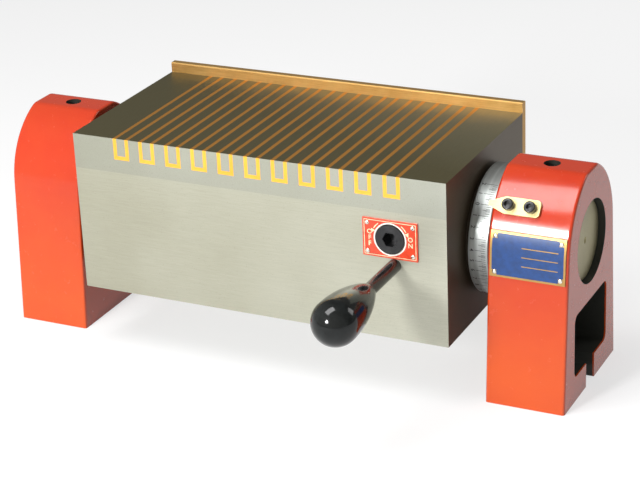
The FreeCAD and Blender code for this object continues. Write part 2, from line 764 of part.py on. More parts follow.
channels, channelSketch, channelPad = padded("channel_body", "XZ_Plane", [
    (grooveLeft, grooveBottom), (grooveRight, grooveBottom), (grooveRight, "body_top"), (barRight, "body_top"),
    (barRight, barBottom), (barLeft, barBottom), (barLeft, "body_top"), (grooveLeft, "body_top"),
], "body_width")
rowAlong(channels, channelSketch, channelPad, "pole_pitch", "pole_count")
node(place(channels, "0", "body_back", "0"), "brass_channels")

bars, barSketch, barPad = padded("bar_body", "XZ_Plane", [
    (barLeft, barBottom), (barRight, barBottom), (barRight, "body_top"), (barLeft, "body_top"),
], "body_width")
rowAlong(bars, barSketch, barPad, "pole_pitch", "pole_count")
node(place(bars, "0", "body_back", "0"), "pole_bars")


# ---- magnet carriage on its guide strips ----

carriageFront = "cavity_front + front_gap"
carriageBack = "cavity_back - back_gap"
blockFront = "cavity_front + front_gap + tray_side"
blockBack = "cavity_back - back_gap - tray_side"
blockLow = "tray_bottom + tray_floor"
crankX = "switch_place - crank_throw"
# The crank moves as a sine and the carriage evenly, so the slot is wider by their largest difference.
largestLag = 0.22  # of the throw
crankRoom = f"crank_diameter / 2 + crank_clearance + {largestLag} * crank_throw"
crankReach = "crank_throw + crank_diameter / 2 + crank_clearance"

tray = box("tray_block", ("blocks_start - tray_end", carriageFront, "tray_bottom"),
           ("blocks_start + blocks_length + tray_end", carriageBack, "carriage_top"))
trayHollow = box("tray_hollow", ("blocks_start", blockFront, blockLow),
                 ("blocks_start + blocks_length", blockBack, "carriage_top + 1"))
traySlot = box("tray_slot",
               (f"{crankX} - ({crankRoom})", f"{carriageFront} - 1", f"switch_height - ({crankReach})"),
               (f"{crankX} + {crankRoom}", blockFront, f"switch_height + {crankReach}"))
node(cut("tray_cut", tray, [trayHollow, traySlot]), "magnet_tray")


def blockRow(name, start, width, pitch, count):
    """A row of upright blocks across the tray."""
    body, sketch, pad = padded(name + "_body", "XZ_Plane", [
        (start, blockLow), (f"{start} + {width}", blockLow),
        (f"{start} + {width}", "carriage_top"), (start, "carriage_top"),
    ], f"({blockBack}) - ({blockFront})")
    rowAlong(body, sketch, pad, pitch, count)
    node(place(body, "0", blockBack, "0"), name)


blockRow("north_pole_blocks", "blocks_start", "block_width", "pole_pitch", "pole_count")
blockRow("south_pole_blocks", "blocks_start + pole_pitch / 2", "block_width", "pole_pitch", "pole_count")
blockRow("magnets", "blocks_start + block_width", "magnet_width", "pole_pitch / 2", "2 * pole_count - 1")


def guideStrip(side, low, high, headSide, turn):
    """A bronze strip along a long wall, under the tray, with its three screws."""
    top = "tray_bottom - strip_clearance"
    strip = box(f"strip_{side}", ("0 - cavity_end", low, f"{top} - strip_height"), ("cavity_end", high, top))
    holes = []
    screws = []
    for n, x in enumerate(stripSpots, 1):
        seat = (x, headSide, stripLevel)
        holes += screwHole(f"strip_hole_{side}_{n}", "small", "strip_width", seat, turn, "small_head_height + 1")
        screws.append(screw(f"strip_screw_{side}_{n}", "small", "strip_screw_length", seat, turn))
    node(cut(f"strip_drilled_{side}", strip, holes), f"guide_strip_{side}")
    node(group(f"strip_screw_set_{side}", screws), f"guide_screws_{side}")


guideStrip("front", "cavity_front", "cavity_front + strip_width",
           "cavity_front + strip_width - small_head_height", "y")
guideStrip("back", "cavity_back - strip_width", "cavity_back",
           "cavity_back - strip_width + small_head_height", "-y")


# ---- switch: bush, crank shaft, hub and plate ----


def onSwitch(y):
    return ("switch_place", y, "switch_height")


bush = rod("bush_tube", "bush_diameter / 2", "wall_thickness - hub_sink", onSwitch("body_front + hub_sink"), "y")
bushEye = rod("bush_eye", "shaft_diameter / 2 + thread_clearance", "wall_thickness",
              onSwitch("body_front + 1"), "y")
node(cut("bush_bored", bush, [bushEye]), "switch_bush")

shaft = rod("shaft_rod", "shaft_diameter / 2", "hub_stand + wall_thickness + disc_gap + 1",
            onSwitch("body_front - hub_stand"), "y")
disc = rod("shaft_disc", "disc_diameter / 2", "disc_thickness", onSwitch("cavity_front + disc_gap"), "y")
crank = rod("shaft_crank", "crank_diameter / 2", "front_gap + tray_side - disc_gap - 1",
            (crankX, "cavity_front + disc_gap", "switch_height"), "y")
key = hexagon("shaft_key", "key_size", "key_depth + 1", onSwitch("body_front - hub_stand - 1"), "y")
node(cut("shaft_keyed", join("shaft_blank", [shaft, disc, crank]), [key]), "switch_shaft")

hub = rod("hub_disc", "hub_diameter / 2", "hub_stand + hub_sink - disc_gap",
          onSwitch("body_front - hub_stand"), "y")
hubEye = rod("hub_eye", "shaft_diameter / 2", "hub_stand + hub_sink + 2",
             onSwitch("body_front - hub_stand - 1"), "y")
node(cut("hub_bored", hub, [hubEye]), "switch_hub")

switchSheet = box("switch_sheet",
                  (f"switch_place - {switchHalfWide}", "body_front - sheet_thickness",
                   f"switch_height - {switchHalfHigh}"),
                  (f"switch_place + {switchHalfWide}", "body_front", f"switch_height + {switchHalfHigh}"))
sheetHoles = [rod("switch_sheet_eye", "hub_diameter / 2 + switch_plate_clearance", "sheet_thickness + 2",
                  onSwitch("body_front - sheet_thickness - 1"), "y")]
sheetHoles += [rod(f"switch_pin_hole_{n}", "pin_diameter / 2", "sheet_thickness + 2",
                   (x, "body_front - sheet_thickness - 1", z), "y") for n, (x, z) in enumerate(switchPins, 1)]
node(cut("switch_sheet_cut", switchSheet, sheetHoles), "switch_plate")
pins = [place(drivePin(f"switch_pin_{n}"), x, "body_front - sheet_thickness", z, "-y")
        for n, (x, z) in enumerate(switchPins, 1)]
node(group("switch_pin_set", pins), "switch_pins")


# ---- handle ----


def knobProfile(sketch):
    """Half a drop: a narrow neck, a long flank arc and a ball end, with a blind hole for the rod."""
    hole = SIZES["rod_diameter"] / 2
    depth = SIZES["rod_in_knob"]
    neck = SIZES["knob_neck"] / 2
    ball = SIZES["knob_diameter"] / 2
    length = SIZES["knob_length"]
    flank = SIZES["knob_flank"]
    ballY = length - ball
    # The flank circle passes through the neck and holds the ball circle inside it.
    across = flank - ball
    span = math.hypot(neck, ballY)
    along = (flank ** 2 - across ** 2 + span ** 2) / (2 * span)
    off = math.sqrt(flank ** 2 - along ** 2)
    toBall = Vector(-neck / span, ballY / span, 0)
    flankMiddle = Vector(neck, 0, 0) + toBall * along + Vector(-toBall.y, toBall.x, 0) * off
    ballMiddle = Vector(0, ballY, 0)
    outward = (ballMiddle - flankMiddle).normalize()
    join = math.atan2(outward.y, outward.x)
    start = math.atan2(-flankMiddle.y, neck - flankMiddle.x)
    up = Vector(0, 0, 1)
    sketch.addGeometry(Part.LineSegment(Vector(hole, 0, 0), Vector(neck, 0, 0)), False)
    sketch.addGeometry(Part.ArcOfCircle(Part.Circle(flankMiddle, up, flank), start, join), False)
    sketch.addGeometry(Part.ArcOfCircle(Part.Circle(ballMiddle, up, ball), join, math.pi / 2), False)
    sketch.addGeometry(Part.LineSegment(Vector(0, length, 0), Vector(0, depth, 0)), False)
    sketch.addGeometry(Part.LineSegment(Vector(0, depth, 0), Vector(hole, depth, 0)), False)
    sketch.addGeometry(Part.LineSegment(Vector(hole, depth, 0), Vector(hole, 0, 0)), False)
    hold(sketch, "Coincident", 0, 2, 1, 1)
    hold(sketch, "Tangent", 1, 2, 2, 1)
    hold(sketch, "Coincident", 2, 2, 3, 1)
    hold(sketch, "Coincident", 3, 2, 4, 1)
    hold(sketch, "Coincident", 4, 2, 5, 1)
    hold(sketch, "Coincident", 5, 2, 0, 1)
    hold(sketch, "PointOnObject", 2, 3, -2)
    hold(sketch, "PointOnObject", 3, 1, -2)
    hold(sketch, "PointOnObject", 3, 2, -2)
    hold(sketch, "PointOnObject", 0, 1, -1)
    hold(sketch, "PointOnObject", 0, 2, -1)
    hold(sketch, "Horizontal", 4)
    hold(sketch, "Vertical", 5)
    hold(sketch, "DistanceX", -1, 1, 0, 1, hole, formula="rod_diameter / 2")
    hold(sketch, "DistanceX", -1, 1, 0, 2, neck, formula="knob_neck / 2")
    hold(sketch, "DistanceY", -1, 1, 3, 2, depth, formula="rod_in_knob")
    hold(sketch, "DistanceY", -1, 1, 3, 1, length, formula="knob_length")
    hold(sketch, "Radius", 2, ball, formula="knob_diameter / 2")
    hold(sketch, "Radius", 1, flank, formula="knob_flank")


knob = doc.addObject("PartDesign::Body", "knob_body")
knobSketch = sketchOn(knob, "XZ_Plane", "knob_profile")
knobProfile(knobSketch)
knobTurn = knob.newObject("PartDesign::Revolution", "knob_turn")
knobTurn.Profile = knobSketch
knobTurn.ReferenceAxis = (knobSketch, ["V_Axis"])
knobTurn.Angle = 360
node(place(knob, "handle_place", "body_front - rod_reach", "handle_height", "-y"), "handle_knob")

node(rod("handle_bar", "rod_diameter / 2", "rod_thread + rod_reach + rod_in_knob",
         ("handle_place", "body_front + rod_thread", "handle_height"), "-y"), "handle_rod")


# ---- back rail, slotted to slide up and down on its screws ----


def railSlots():
    """Upright slots with round ends, as long as the rail's travel."""
    radius = "large_thread / 2 + slot_clearance"
    low = "rail_screw_height - rail_travel_up"
    high = "rail_screw_height + rail_travel_down"
    tools = []
    for n, x in enumerate(railSpots, 1):
        tools.append(box(f"rail_slot_{n}", (f"{x} - ({radius})", "body_back - 1", low),
                         (f"{x} + ({radius})", "body_back + rail_thickness + 1", high)))
        for end, z in (("low", low), ("high", high)):
            tools.append(rod(f"rail_slot_{n}_{end}", radius, "rail_thickness + 2", (x, "body_back - 1", z), "y"))
    return tools


railTop = "body_top + rail_rise"
rail, _, railPad = padded("rail_body", "XZ_Plane", [
    ("0 - body_end", f"{railTop} - rail_height"), ("body_end", f"{railTop} - rail_height"),
    ("body_end", railTop), ("0 - body_end", railTop),
], "rail_thickness")
doc.recompute()
railHigh = SIZES["axis_height"] + SIZES["body_height"] / 2 + SIZES["rail_rise"] - 0.01
chamfer = rail.newObject("PartDesign::Chamfer", "rail_top_edges")
chamfer.Base = (railPad, edgesOf(railPad, lambda b: b.ZMin > railHigh and b.XLength > 1))
bind(chamfer, Size="rail_chamfer")
node(cut("rail_slotted", place(rail, "0", "body_back + rail_thickness", "0"), railSlots()), "back_rail")

railSeat = "body_back + rail_thickness + flat_washer_thickness"
screws = [screw(f"rail_screw_{n}", "large", "rail_screw_length", (x, railSeat, "rail_screw_height"), "y")
          for n, x in enumerate(railSpots, 1)]
node(group("rail_screw_set", screws), "rail_screws")
washers = []
for n, x in enumerate(railSpots, 1):
    flat = rod(f"rail_washer_disc_{n}", "flat_washer_diameter / 2", "flat_washer_thickness",
               (x, "body_back + rail_thickness", "rail_screw_height"), "y")
    eye = rod(f"rail_washer_eye_{n}", "large_thread / 2 + slot_clearance", "flat_washer_thickness + 2",
              (x, "body_back + rail_thickness - 1", "rail_screw_height"), "y")
    washers.append(cut(f"rail_washer_{n}", flat, [eye]))
node(group("rail_washer_set", washers), "rail_washers")


# ---- checks and export ----

doc.recompute()
for item in doc.Objects:
    if "Invalid" in item.State or "Error" in item.State:
        raise SystemExit(f"{item.Label} failed: {item.State}")
for item in nodes:
    if item.Shape.isNull() or not item.Shape.isValid():
        raise SystemExit(f"{item.Label} has no valid shape")

os.makedirs("parts", exist_ok=True)
for item in nodes:
    item.Shape.exportStep(f"parts/{item.Label}.step")
    solids = item.Shape.Solids
    print(f"{item.Label}: {len(solids)} solid(s), {item.Shape.Volume:.0f} mm3")
print(f"{len(nodes)} nodes")
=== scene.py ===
import json
from math import radians

import bmesh
import bpy
import numpy as np
from mathutils import Matrix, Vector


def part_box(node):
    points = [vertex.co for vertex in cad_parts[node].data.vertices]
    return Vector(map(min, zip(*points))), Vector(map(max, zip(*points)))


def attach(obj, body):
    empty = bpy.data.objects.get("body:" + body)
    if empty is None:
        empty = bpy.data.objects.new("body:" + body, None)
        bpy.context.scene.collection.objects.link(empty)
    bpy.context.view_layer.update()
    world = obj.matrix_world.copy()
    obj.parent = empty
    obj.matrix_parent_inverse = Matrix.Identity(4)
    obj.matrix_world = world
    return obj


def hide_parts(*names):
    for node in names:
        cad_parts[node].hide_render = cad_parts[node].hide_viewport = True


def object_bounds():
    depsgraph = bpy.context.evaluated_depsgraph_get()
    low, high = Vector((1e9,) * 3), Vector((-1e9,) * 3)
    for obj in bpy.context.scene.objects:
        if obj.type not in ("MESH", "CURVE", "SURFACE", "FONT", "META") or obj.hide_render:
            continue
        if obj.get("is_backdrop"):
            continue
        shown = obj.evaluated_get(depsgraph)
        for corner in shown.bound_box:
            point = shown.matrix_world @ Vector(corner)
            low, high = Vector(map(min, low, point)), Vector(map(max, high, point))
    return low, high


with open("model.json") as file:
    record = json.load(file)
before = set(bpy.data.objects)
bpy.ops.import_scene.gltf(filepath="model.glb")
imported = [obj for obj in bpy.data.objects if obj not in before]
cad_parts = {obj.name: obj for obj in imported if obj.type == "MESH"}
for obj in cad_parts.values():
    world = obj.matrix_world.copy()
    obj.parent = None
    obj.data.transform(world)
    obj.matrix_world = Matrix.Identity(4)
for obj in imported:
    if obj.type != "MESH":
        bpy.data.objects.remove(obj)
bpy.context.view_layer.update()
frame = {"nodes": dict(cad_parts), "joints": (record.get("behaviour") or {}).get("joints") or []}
mm = 0.001


# ---- places taken from the frame ----

def boxOf(node):  # low and high corner as arrays
    low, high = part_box(node)
    return np.array(low), np.array(high)


def middleOf(node):
    low, high = boxOf(node)
    return (low + high) / 2


joints = {joint["name"]: joint for joint in frame["joints"]}
tiltAxis = np.array(joints["chuck_tilt"]["pos_m"])
switchAxis = np.array(joints["switch_turn"]["pos_m"])
housingLow, housingHigh = boxOf("chuck_housing")
plateLow, plateHigh = boxOf("pole_plate")
bracketLow, bracketHigh = boxOf("bracket_right")
ringLow, ringHigh = boxOf("graduated_ring")


# ---- mesh tools ----

# A grid of points becomes quads: each cell joins four neighbours, and a closed direction wraps round.
def gridFaces(rows, columns, wrapRows=False, wrapColumns=True, first=0):
    r = np.arange(rows if wrapRows else rows - 1)
    c = np.arange(columns if wrapColumns else columns - 1)
    r, c = np.meshgrid(r, c, indexing="ij")
    rNext, cNext = (r + 1) % rows, (c + 1) % columns
    quads = np.stack([r * columns + c, r * columns + cNext, rNext * columns + cNext, rNext * columns + c],
                     axis=-1)
    return quads.reshape(-1, 4) + first


# Corners of an open path become round: each corner's arc touches both of its sides, and the ends stay.
def roundedPath(corners, radii, steps=5):
    corners = np.array(corners, float)
    path = [corners[0]]
    for before, corner, after, radius in zip(corners[:-2], corners[1:-1], corners[2:], radii):
        if radius <= 0:
            path.append(corner)
            continue
        back, ahead = before - corner, after - corner
        back, ahead = back / np.linalg.norm(back), ahead / np.linalg.norm(ahead)
        halfAngle = np.arccos(np.clip(back @ ahead, -1, 1)) / 2
        middle = corner + (back + ahead) / np.linalg.norm(back + ahead) * radius / np.sin(halfAngle)
        start = corner + back * radius / np.tan(halfAngle) - middle
        end = corner + ahead * radius / np.tan(halfAngle) - middle
        turn = np.arccos(np.clip(start @ end / radius ** 2, -1, 1))
        share = np.linspace(0, 1, steps)[:, None]
        path.extend(middle + (start * np.sin((1 - share) * turn) + end * np.sin(share * turn)) / np.sin(turn))
    path.append(corners[-1])
    return np.array(path)


# Three unit directions: along the axis, and two across it.
def axes(along):
    along = np.array(along, float) / np.linalg.norm(along)
    helper = np.array([0, 0, 1.0]) if abs(along[2]) < 0.9 else np.array([1.0, 0, 0])
    side = np.cross(helper, along)
    side /= np.linalg.norm(side)
    return along, side, np.cross(along, side)


# A turned shape: radius(height, angle) times the circle's two directions, plus height along the axis.
def turnedGrid(profile, origin, along, sides=48, shape=None):
    along, side, up = axes(along)
    angle = np.linspace(0, 2 * np.pi, sides, endpoint=False)
    radius = np.repeat(profile[:, :1], sides, axis=1)
    if shape is not None:
        radius = shape(radius, profile[:, 1:2], angle[None, :])
    round_ = np.cos(angle)[None, :, None] * side + np.sin(angle)[None, :, None] * up
    return np.array(origin) + radius[..., None] * round_ + profile[:, 1][:, None, None] * along


# Distance from the middle of a hexagon to its side, at each angle, for a given width across the flats.
def hexagonRadius(across, angle):
    return across / 2 / np.cos((angle + np.pi / 6) % (np.pi / 3) - np.pi / 6)


def makePiece(name, vertices, faces, material, body, sharpAngle=35, weld=True):
    mesh = bpy.data.meshes.new(name)
    mesh.from_pydata(np.asarray(vertices, float).reshape(-1, 3).tolist(), [], np.asarray(faces).tolist()
                     if isinstance(faces, np.ndarray) else [list(face) for face in faces])
    if weld:
        work = bmesh.new()
        work.from_mesh(mesh)
        bmesh.ops.remove_doubles(work, verts=work.verts, dist=1e-7)
        bmesh.ops.dissolve_degenerate(work, edges=work.edges, dist=1e-7)
        bmesh.ops.recalc_face_normals(work, faces=work.faces)
        work.to_mesh(mesh)
        work.free()
    mesh.shade_smooth()
    mesh.set_sharp_from_angle(angle=radians(sharpAngle))
    mesh.materials.append(material)
    piece = bpy.data.objects.new(name, mesh)
    bpy.context.scene.collection.objects.link(piece)
    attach(piece, body)
    return piece


# Several closed grids as one piece.
def pieceFromGrids(name, grids, material, body, sharpAngle=35):
    vertices, faces, first = [], [], 0
    for grid in grids:
        rows, columns = grid.shape[:2]
        vertices.append(grid.reshape(-1, 3))
        faces.append(gridFaces(rows, columns, first=first))
        first += rows * columns
    return makePiece(name, np.concatenate(vertices), np.concatenate(faces), material, body, sharpAngle)


# ---- material tools ----

def newMaterial(name, **inputs):
    material = bpy.data.materials.new(name)
    material.use_nodes = True
    tree = material.node_tree
    shader = tree.nodes["Principled BSDF"]
    for key, value in inputs.items():
        shader.inputs[key.replace("_", " ")].default_value = value
    return material, tree, shader


def addNode(tree, kind, inputs=None, **settings):
    node = tree.nodes.new(kind)
    for key, value in settings.items():
        setattr(node, key, value)
    for key, value in (inputs or {}).items():
        if isinstance(value, bpy.types.NodeSocket):
            tree.links.new(value, node.inputs[key])
        else:
            node.inputs[key].default_value = value
    return node


def objectPoint(tree, scale=(1, 1, 1)):
    coordinates = addNode(tree, "ShaderNodeTexCoord")
    mapping = addNode(tree, "ShaderNodeMapping", {"Vector": coordinates.outputs["Object"], "Scale": scale})
    return mapping.outputs["Vector"]


def noise(tree, point, scale, detail=3.0, roughness=0.5):
    made = addNode(tree, "ShaderNodeTexNoise", {"Vector": point, "Scale": scale, "Detail": detail,
                                                "Roughness": roughness})
    return made.outputs["Fac"]


def remap(tree, value, low, high, fromLow=0.0, fromHigh=1.0):
    made = addNode(tree, "ShaderNodeMapRange", {"Value": value, "From Min": fromLow, "From Max": fromHigh,
                                                "To Min": low, "To Max": high})
    return made.outputs["Result"]


def mathOf(tree, operation, first, second=0.0):
    return addNode(tree, "ShaderNodeMath", {0: first, 1: second}, operation=operation).outputs["Value"]


def blendOf(tree, share, first, second, kind="MIX"):
    made = addNode(tree, "ShaderNodeMix", data_type="RGBA", blend_type=kind)
    for index, value in ((0, share), (6, first), (7, second)):
        if isinstance(value, bpy.types.NodeSocket):
            tree.links.new(value, made.inputs[index])
        else:
            made.inputs[index].default_value = value if index == 0 else (*value, 1)
    return made.outputs[2]


def bumpOn(tree, shader, height, distance, strength=1.0, under=None):
    inputs = {"Height": height, "Distance": distance, "Strength": strength}
    if under is not None:
        inputs["Normal"] = under
    made = addNode(tree, "ShaderNodeBump", inputs)
    tree.links.new(made.outputs["Normal"], shader.inputs["Normal"])
    return made.outputs["Normal"]


# How far a surface faces along an axis of the part, from 0 to 1; the sign picks one side, None takes both.
def facing(tree, axis, sign=None, low=0.55, high=0.9):
    normal = addNode(tree, "ShaderNodeTexCoord").outputs["Normal"]
    value = addNode(tree, "ShaderNodeSeparateXYZ", {0: normal}).outputs[axis]
    value = mathOf(tree, "ABSOLUTE", value) if sign is None else mathOf(tree, "MULTIPLY", value, float(sign))
    return remap(tree, value, 0, 1, low, high)


def objectParts(tree):
    coordinates = addNode(tree, "ShaderNodeTexCoord")
    return addNode(tree, "ShaderNodeSeparateXYZ", {0: coordinates.outputs["Object"]}).outputs


# Ground steel: grinding marks run along one direction, and cloudy patches change colour and gloss. It also carries
# painted light: a painted reflection that grows lighter towards the right, and painted shade on the top and the
# end faces.
groundSteel = {
    "light": (0.5, 0.5, 0.42), "dark": (0.36, 0.35, 0.26), "roughness": 0.42, "marks": 0.000012,
    # painted light: the top gets a dark painted shade with a paler painted sheen towards the back and the right,
    # and the end faces get a dark painted shade
    "patchSize": 0.09, "slant": 0.4,  # the top is paler towards the back and the right
    "groove": (0.02, 0.02, 0.015), "speck": (0.14, 0.13, 0.1),
    "oiledTop": (0.115, 0.1, 0.045), "oiledTopFar": (0.22, 0.21, 0.14), "endFace": (0.085, 0.065, 0.04),
    "metal": 0.72,
}


def groundMaterial(name, grain=(6, 260, 260), light=None, dark=None):
    light = light or groundSteel["light"]
    dark = dark or groundSteel["dark"]
    roughness = groundSteel["roughness"]
    material, tree, shader = newMaterial(name, Metallic=groundSteel["metal"])
    point = objectPoint(tree)
    patches = noise(tree, point, 1 / groundSteel["patchSize"], 4.0, 0.55)
    fine = noise(tree, objectPoint(tree, grain), 12.0, 3.0, 0.6)
    specks = noise(tree, point, 900.0, 2.0, 0.6)
    along = objectParts(tree)
    # painted reflection: the colour grows lighter from the left end of the housing to the right end
    paintedRightwardSheen = remap(tree, along["X"], 0.1, 0.9, housingLow[0], housingHigh[0])
    share = mathOf(tree, "ADD", mathOf(tree, "MULTIPLY", remap(tree, patches, 0, 1, 0.3, 0.7), 0.35),
                   mathOf(tree, "MULTIPLY", paintedRightwardSheen, 0.65))
    tone = blendOf(tree, share, dark, light)
    # painted shade on upward faces, with a paler painted sheen towards the back and the right
    slanted = mathOf(tree, "ADD", along["Y"], mathOf(tree, "MULTIPLY", along["X"], groundSteel["slant"]))
    paintedTopSheenShare = remap(tree, slanted, 0, 1, 0.0, 0.13)
    top = blendOf(tree, paintedTopSheenShare, groundSteel["oiledTop"], groundSteel["oiledTopFar"])
    tone = blendOf(tree, facing(tree, "Z", 1), tone, top)
    # painted shade: faces towards either end are painted dark
    tone = blendOf(tree, facing(tree, "X"), tone, groundSteel["endFace"])
    grooved = blendOf(tree, 0.5, tone, groundSteel["groove"])
    tone = blendOf(tree, remap(tree, fine, 0.0, 0.25, 0.3, 0.7), tone, grooved)
    tree.links.new(blendOf(tree, remap(tree, specks, 0.0, 0.3, 0.6, 0.8), tone, groundSteel["speck"]),
                   shader.inputs["Base Color"])
    rough = mathOf(tree, "ADD", remap(tree, patches, -0.06, 0.06),
                   remap(tree, fine, roughness - 0.06, roughness + 0.08))
    tree.links.new(rough, shader.inputs["Roughness"])
    bumpOn(tree, shader, fine, groundSteel["marks"], 0.6)
    return material


# Gloss enamel on a casting: a slow waviness, a finer orange peel, and dust worn dull in places. Painted shade
# deepens the red towards the top and on the side faces, and paints the bore, the clamp holes and the pocket nearly
# black.
enamel = {
    # painted shade: a deeper red for the top and a darker red for the side faces
    "colour": (0.56, 0.075, 0.009), "deep": (0.46, 0.026, 0.005), "side": (0.3, 0.03, 0.006),
    # painted shade: the bore, the clamp holes and the pocket inside are painted nearly black
    "roughness": 0.2, "wave": 0.00025, "peel": 0.000018, "gloss": 0.35, "bareIron": (0.012, 0.013, 0.009),
    "skin": 0.0012,
}
bracketHole = {"bore": 31.2 * mm, "clamp": 6.1 * mm, "pocketHalf": 35.7 * mm, "pocketTop": 68.2 * mm}


def enamelMaterial(name):
    material, tree, shader = newMaterial(name, Coat_Weight=0.25, Coat_Roughness=0.08,
                                         Specular_IOR_Level=enamel["gloss"])
    point = objectPoint(tree)
    cloud = noise(tree, point, 14.0, 4.0, 0.6)
    peel = noise(tree, point, 420.0, 2.0, 0.5)
    wave = noise(tree, point, 38.0, 2.0, 0.5)
    dust = noise(tree, point, 160.0, 6.0, 0.7)
    along = objectParts(tree)
    # painted shade: the red deepens from 2 cm up to 13 cm above the floor
    height = remap(tree, along["Z"], 1, 0, 0.02, 0.13)
    share = mathOf(tree, "ADD", mathOf(tree, "MULTIPLY", remap(tree, cloud, 0, 1, 0.35, 0.65), 0.25),
                   mathOf(tree, "MULTIPLY", height, 0.75))
    tone = blendOf(tree, share, enamel["deep"], enamel["colour"])
    # painted shade: faces towards the sides are painted a darker red
    tone = blendOf(tree, facing(tree, "X"), tone, enamel["side"])

    def limit(value, edge):  # 1 where the value is under the edge
        return mathOf(tree, "LESS_THAN", value, edge)

    def square(value):
        return mathOf(tree, "MULTIPLY", value, value)

    level = mathOf(tree, "SUBTRACT", along["Z"], float(tiltAxis[2]))
    def distance(first, second):  # square root of the sum of both squares
        return mathOf(tree, "SQRT", mathOf(tree, "ADD", square(first), square(second)))

    acrossX, acrossY = mathOf(tree, "ABSOLUTE", along["X"]), mathOf(tree, "ABSOLUTE", along["Y"])
    bore = limit(distance(along["Y"], level), bracketHole["bore"])
    sideways = mathOf(tree, "SUBTRACT", acrossX, float(bracketLow[0] + bracketHigh[0]) / 2)
    clamp = limit(distance(along["Y"], sideways), bracketHole["clamp"])
    inX = mathOf(tree, "MULTIPLY", limit(acrossX, float(bracketHigh[0]) - enamel["skin"]),
                 mathOf(tree, "GREATER_THAN", acrossX, float(bracketLow[0]) + enamel["skin"]))
    inside = mathOf(tree, "MULTIPLY", limit(acrossY, bracketHole["pocketHalf"]),
                    limit(along["Z"], bracketHole["pocketTop"]))
    pocket = mathOf(tree, "MULTIPLY", inX, inside)
    # painted shade: the bore, the clamp holes and the pocket inside are painted nearly black and made rough
    shadedHoles = mathOf(tree, "MAXIMUM", bore, mathOf(tree, "MAXIMUM", clamp, pocket))
    tree.links.new(blendOf(tree, shadedHoles, tone, enamel["bareIron"]), shader.inputs["Base Color"])
    rough = mathOf(tree, "ADD", remap(tree, dust, 0.0, 0.16, 0.5, 0.8), enamel["roughness"])
    rough = mathOf(tree, "ADD", rough, mathOf(tree, "MULTIPLY", shadedHoles, 0.5))
    tree.links.new(rough, shader.inputs["Roughness"])
    height = mathOf(tree, "ADD", mathOf(tree, "MULTIPLY", wave, enamel["wave"]),
                    mathOf(tree, "MULTIPLY", peel, enamel["peel"]))
    bumpOn(tree, shader, height, 1.0, 0.5)
    return material


# Turned steel: rings round an axis along X, from the distance to that axis. Where an edge is given, the part
# nearer the middle than that edge gets a painted shade.
turnedSteel = {"light": (0.32, 0.29, 0.17), "dark": (0.22, 0.19, 0.11), "flange": (0.045, 0.035, 0.025),
               "roughness": 0.4, "feed": 0.0009}


def turnedMaterial(name, centre, light=None, dark=None, roughness=None, gapShadeEdge=None):
    material, tree, shader = newMaterial(name, Metallic=0.8)
    coordinates = addNode(tree, "ShaderNodeTexCoord")
    shift = addNode(tree, "ShaderNodeVectorMath", {0: coordinates.outputs["Object"], 1: tuple(centre)},
                    operation="SUBTRACT")
    parts = addNode(tree, "ShaderNodeSeparateXYZ", {0: shift.outputs["Vector"]})
    radius = mathOf(tree, "SQRT", mathOf(tree, "ADD", mathOf(tree, "POWER", parts.outputs["Y"], 2.0),
                                         mathOf(tree, "POWER", parts.outputs["Z"], 2.0)))
    grooves = mathOf(tree, "SINE", mathOf(tree, "MULTIPLY", radius, 2 * np.pi / turnedSteel["feed"]))
    cloud = noise(tree, objectPoint(tree), 30.0, 4.0, 0.6)
    streak = addNode(tree, "ShaderNodeCombineXYZ", {"X": mathOf(tree, "MULTIPLY", radius, 900.0),
                                                    "Y": mathOf(tree, "MULTIPLY", parts.outputs["X"], 500.0)})
    streaks = noise(tree, streak.outputs["Vector"], 1.0, 2.0, 0.5)
    share = remap(tree, mathOf(tree, "ADD", cloud, streaks), 0, 1, 0.75, 1.25)
    tone = blendOf(tree, share, dark or turnedSteel["dark"],
                   light or turnedSteel["light"])
    # painted shade: the part nearer the middle than the edge is painted nearly black
    if gapShadeEdge is not None:
        away = mathOf(tree, "ABSOLUTE", objectParts(tree)["X"])
        inside = mathOf(tree, "LESS_THAN", away, float(gapShadeEdge))
        tone = blendOf(tree, inside, tone, turnedSteel["flange"])
    tree.links.new(tone, shader.inputs["Base Color"])
    base = roughness or turnedSteel["roughness"]
    tree.links.new(remap(tree, streaks, base - 0.07, base + 0.1), shader.inputs["Roughness"])
    bumpOn(tree, shader, mathOf(tree, "ADD", grooves, streaks), 0.000006, 0.6)
    return material


# Brass: two close tones in fine streaks, dulled in clouds. A given top colour takes over on upward faces.
def brassMaterial(name, bright, dull, roughness=0.3, grain=(300, 8, 300), metallic=1.0, top=None):
    material, tree, shader = newMaterial(name, Metallic=metallic)
    cloud = noise(tree, objectPoint(tree), 45.0, 4.0, 0.6)
    fine = noise(tree, objectPoint(tree, grain), 9.0, 3.0, 0.6)
    tone = blendOf(tree, remap(tree, mathOf(tree, "ADD", cloud, fine), 0, 1, 0.75, 1.2), dull, bright)
    if top is not None:
        tone = blendOf(tree, facing(tree, "Z", 1), tone, top)
    tree.links.new(tone, shader.inputs["Base Color"])
    tree.links.new(remap(tree, fine, roughness - 0.06, roughness + 0.12), shader.inputs["Roughness"])
    bumpOn(tree, shader, fine, 0.00001, 0.5)
    return material


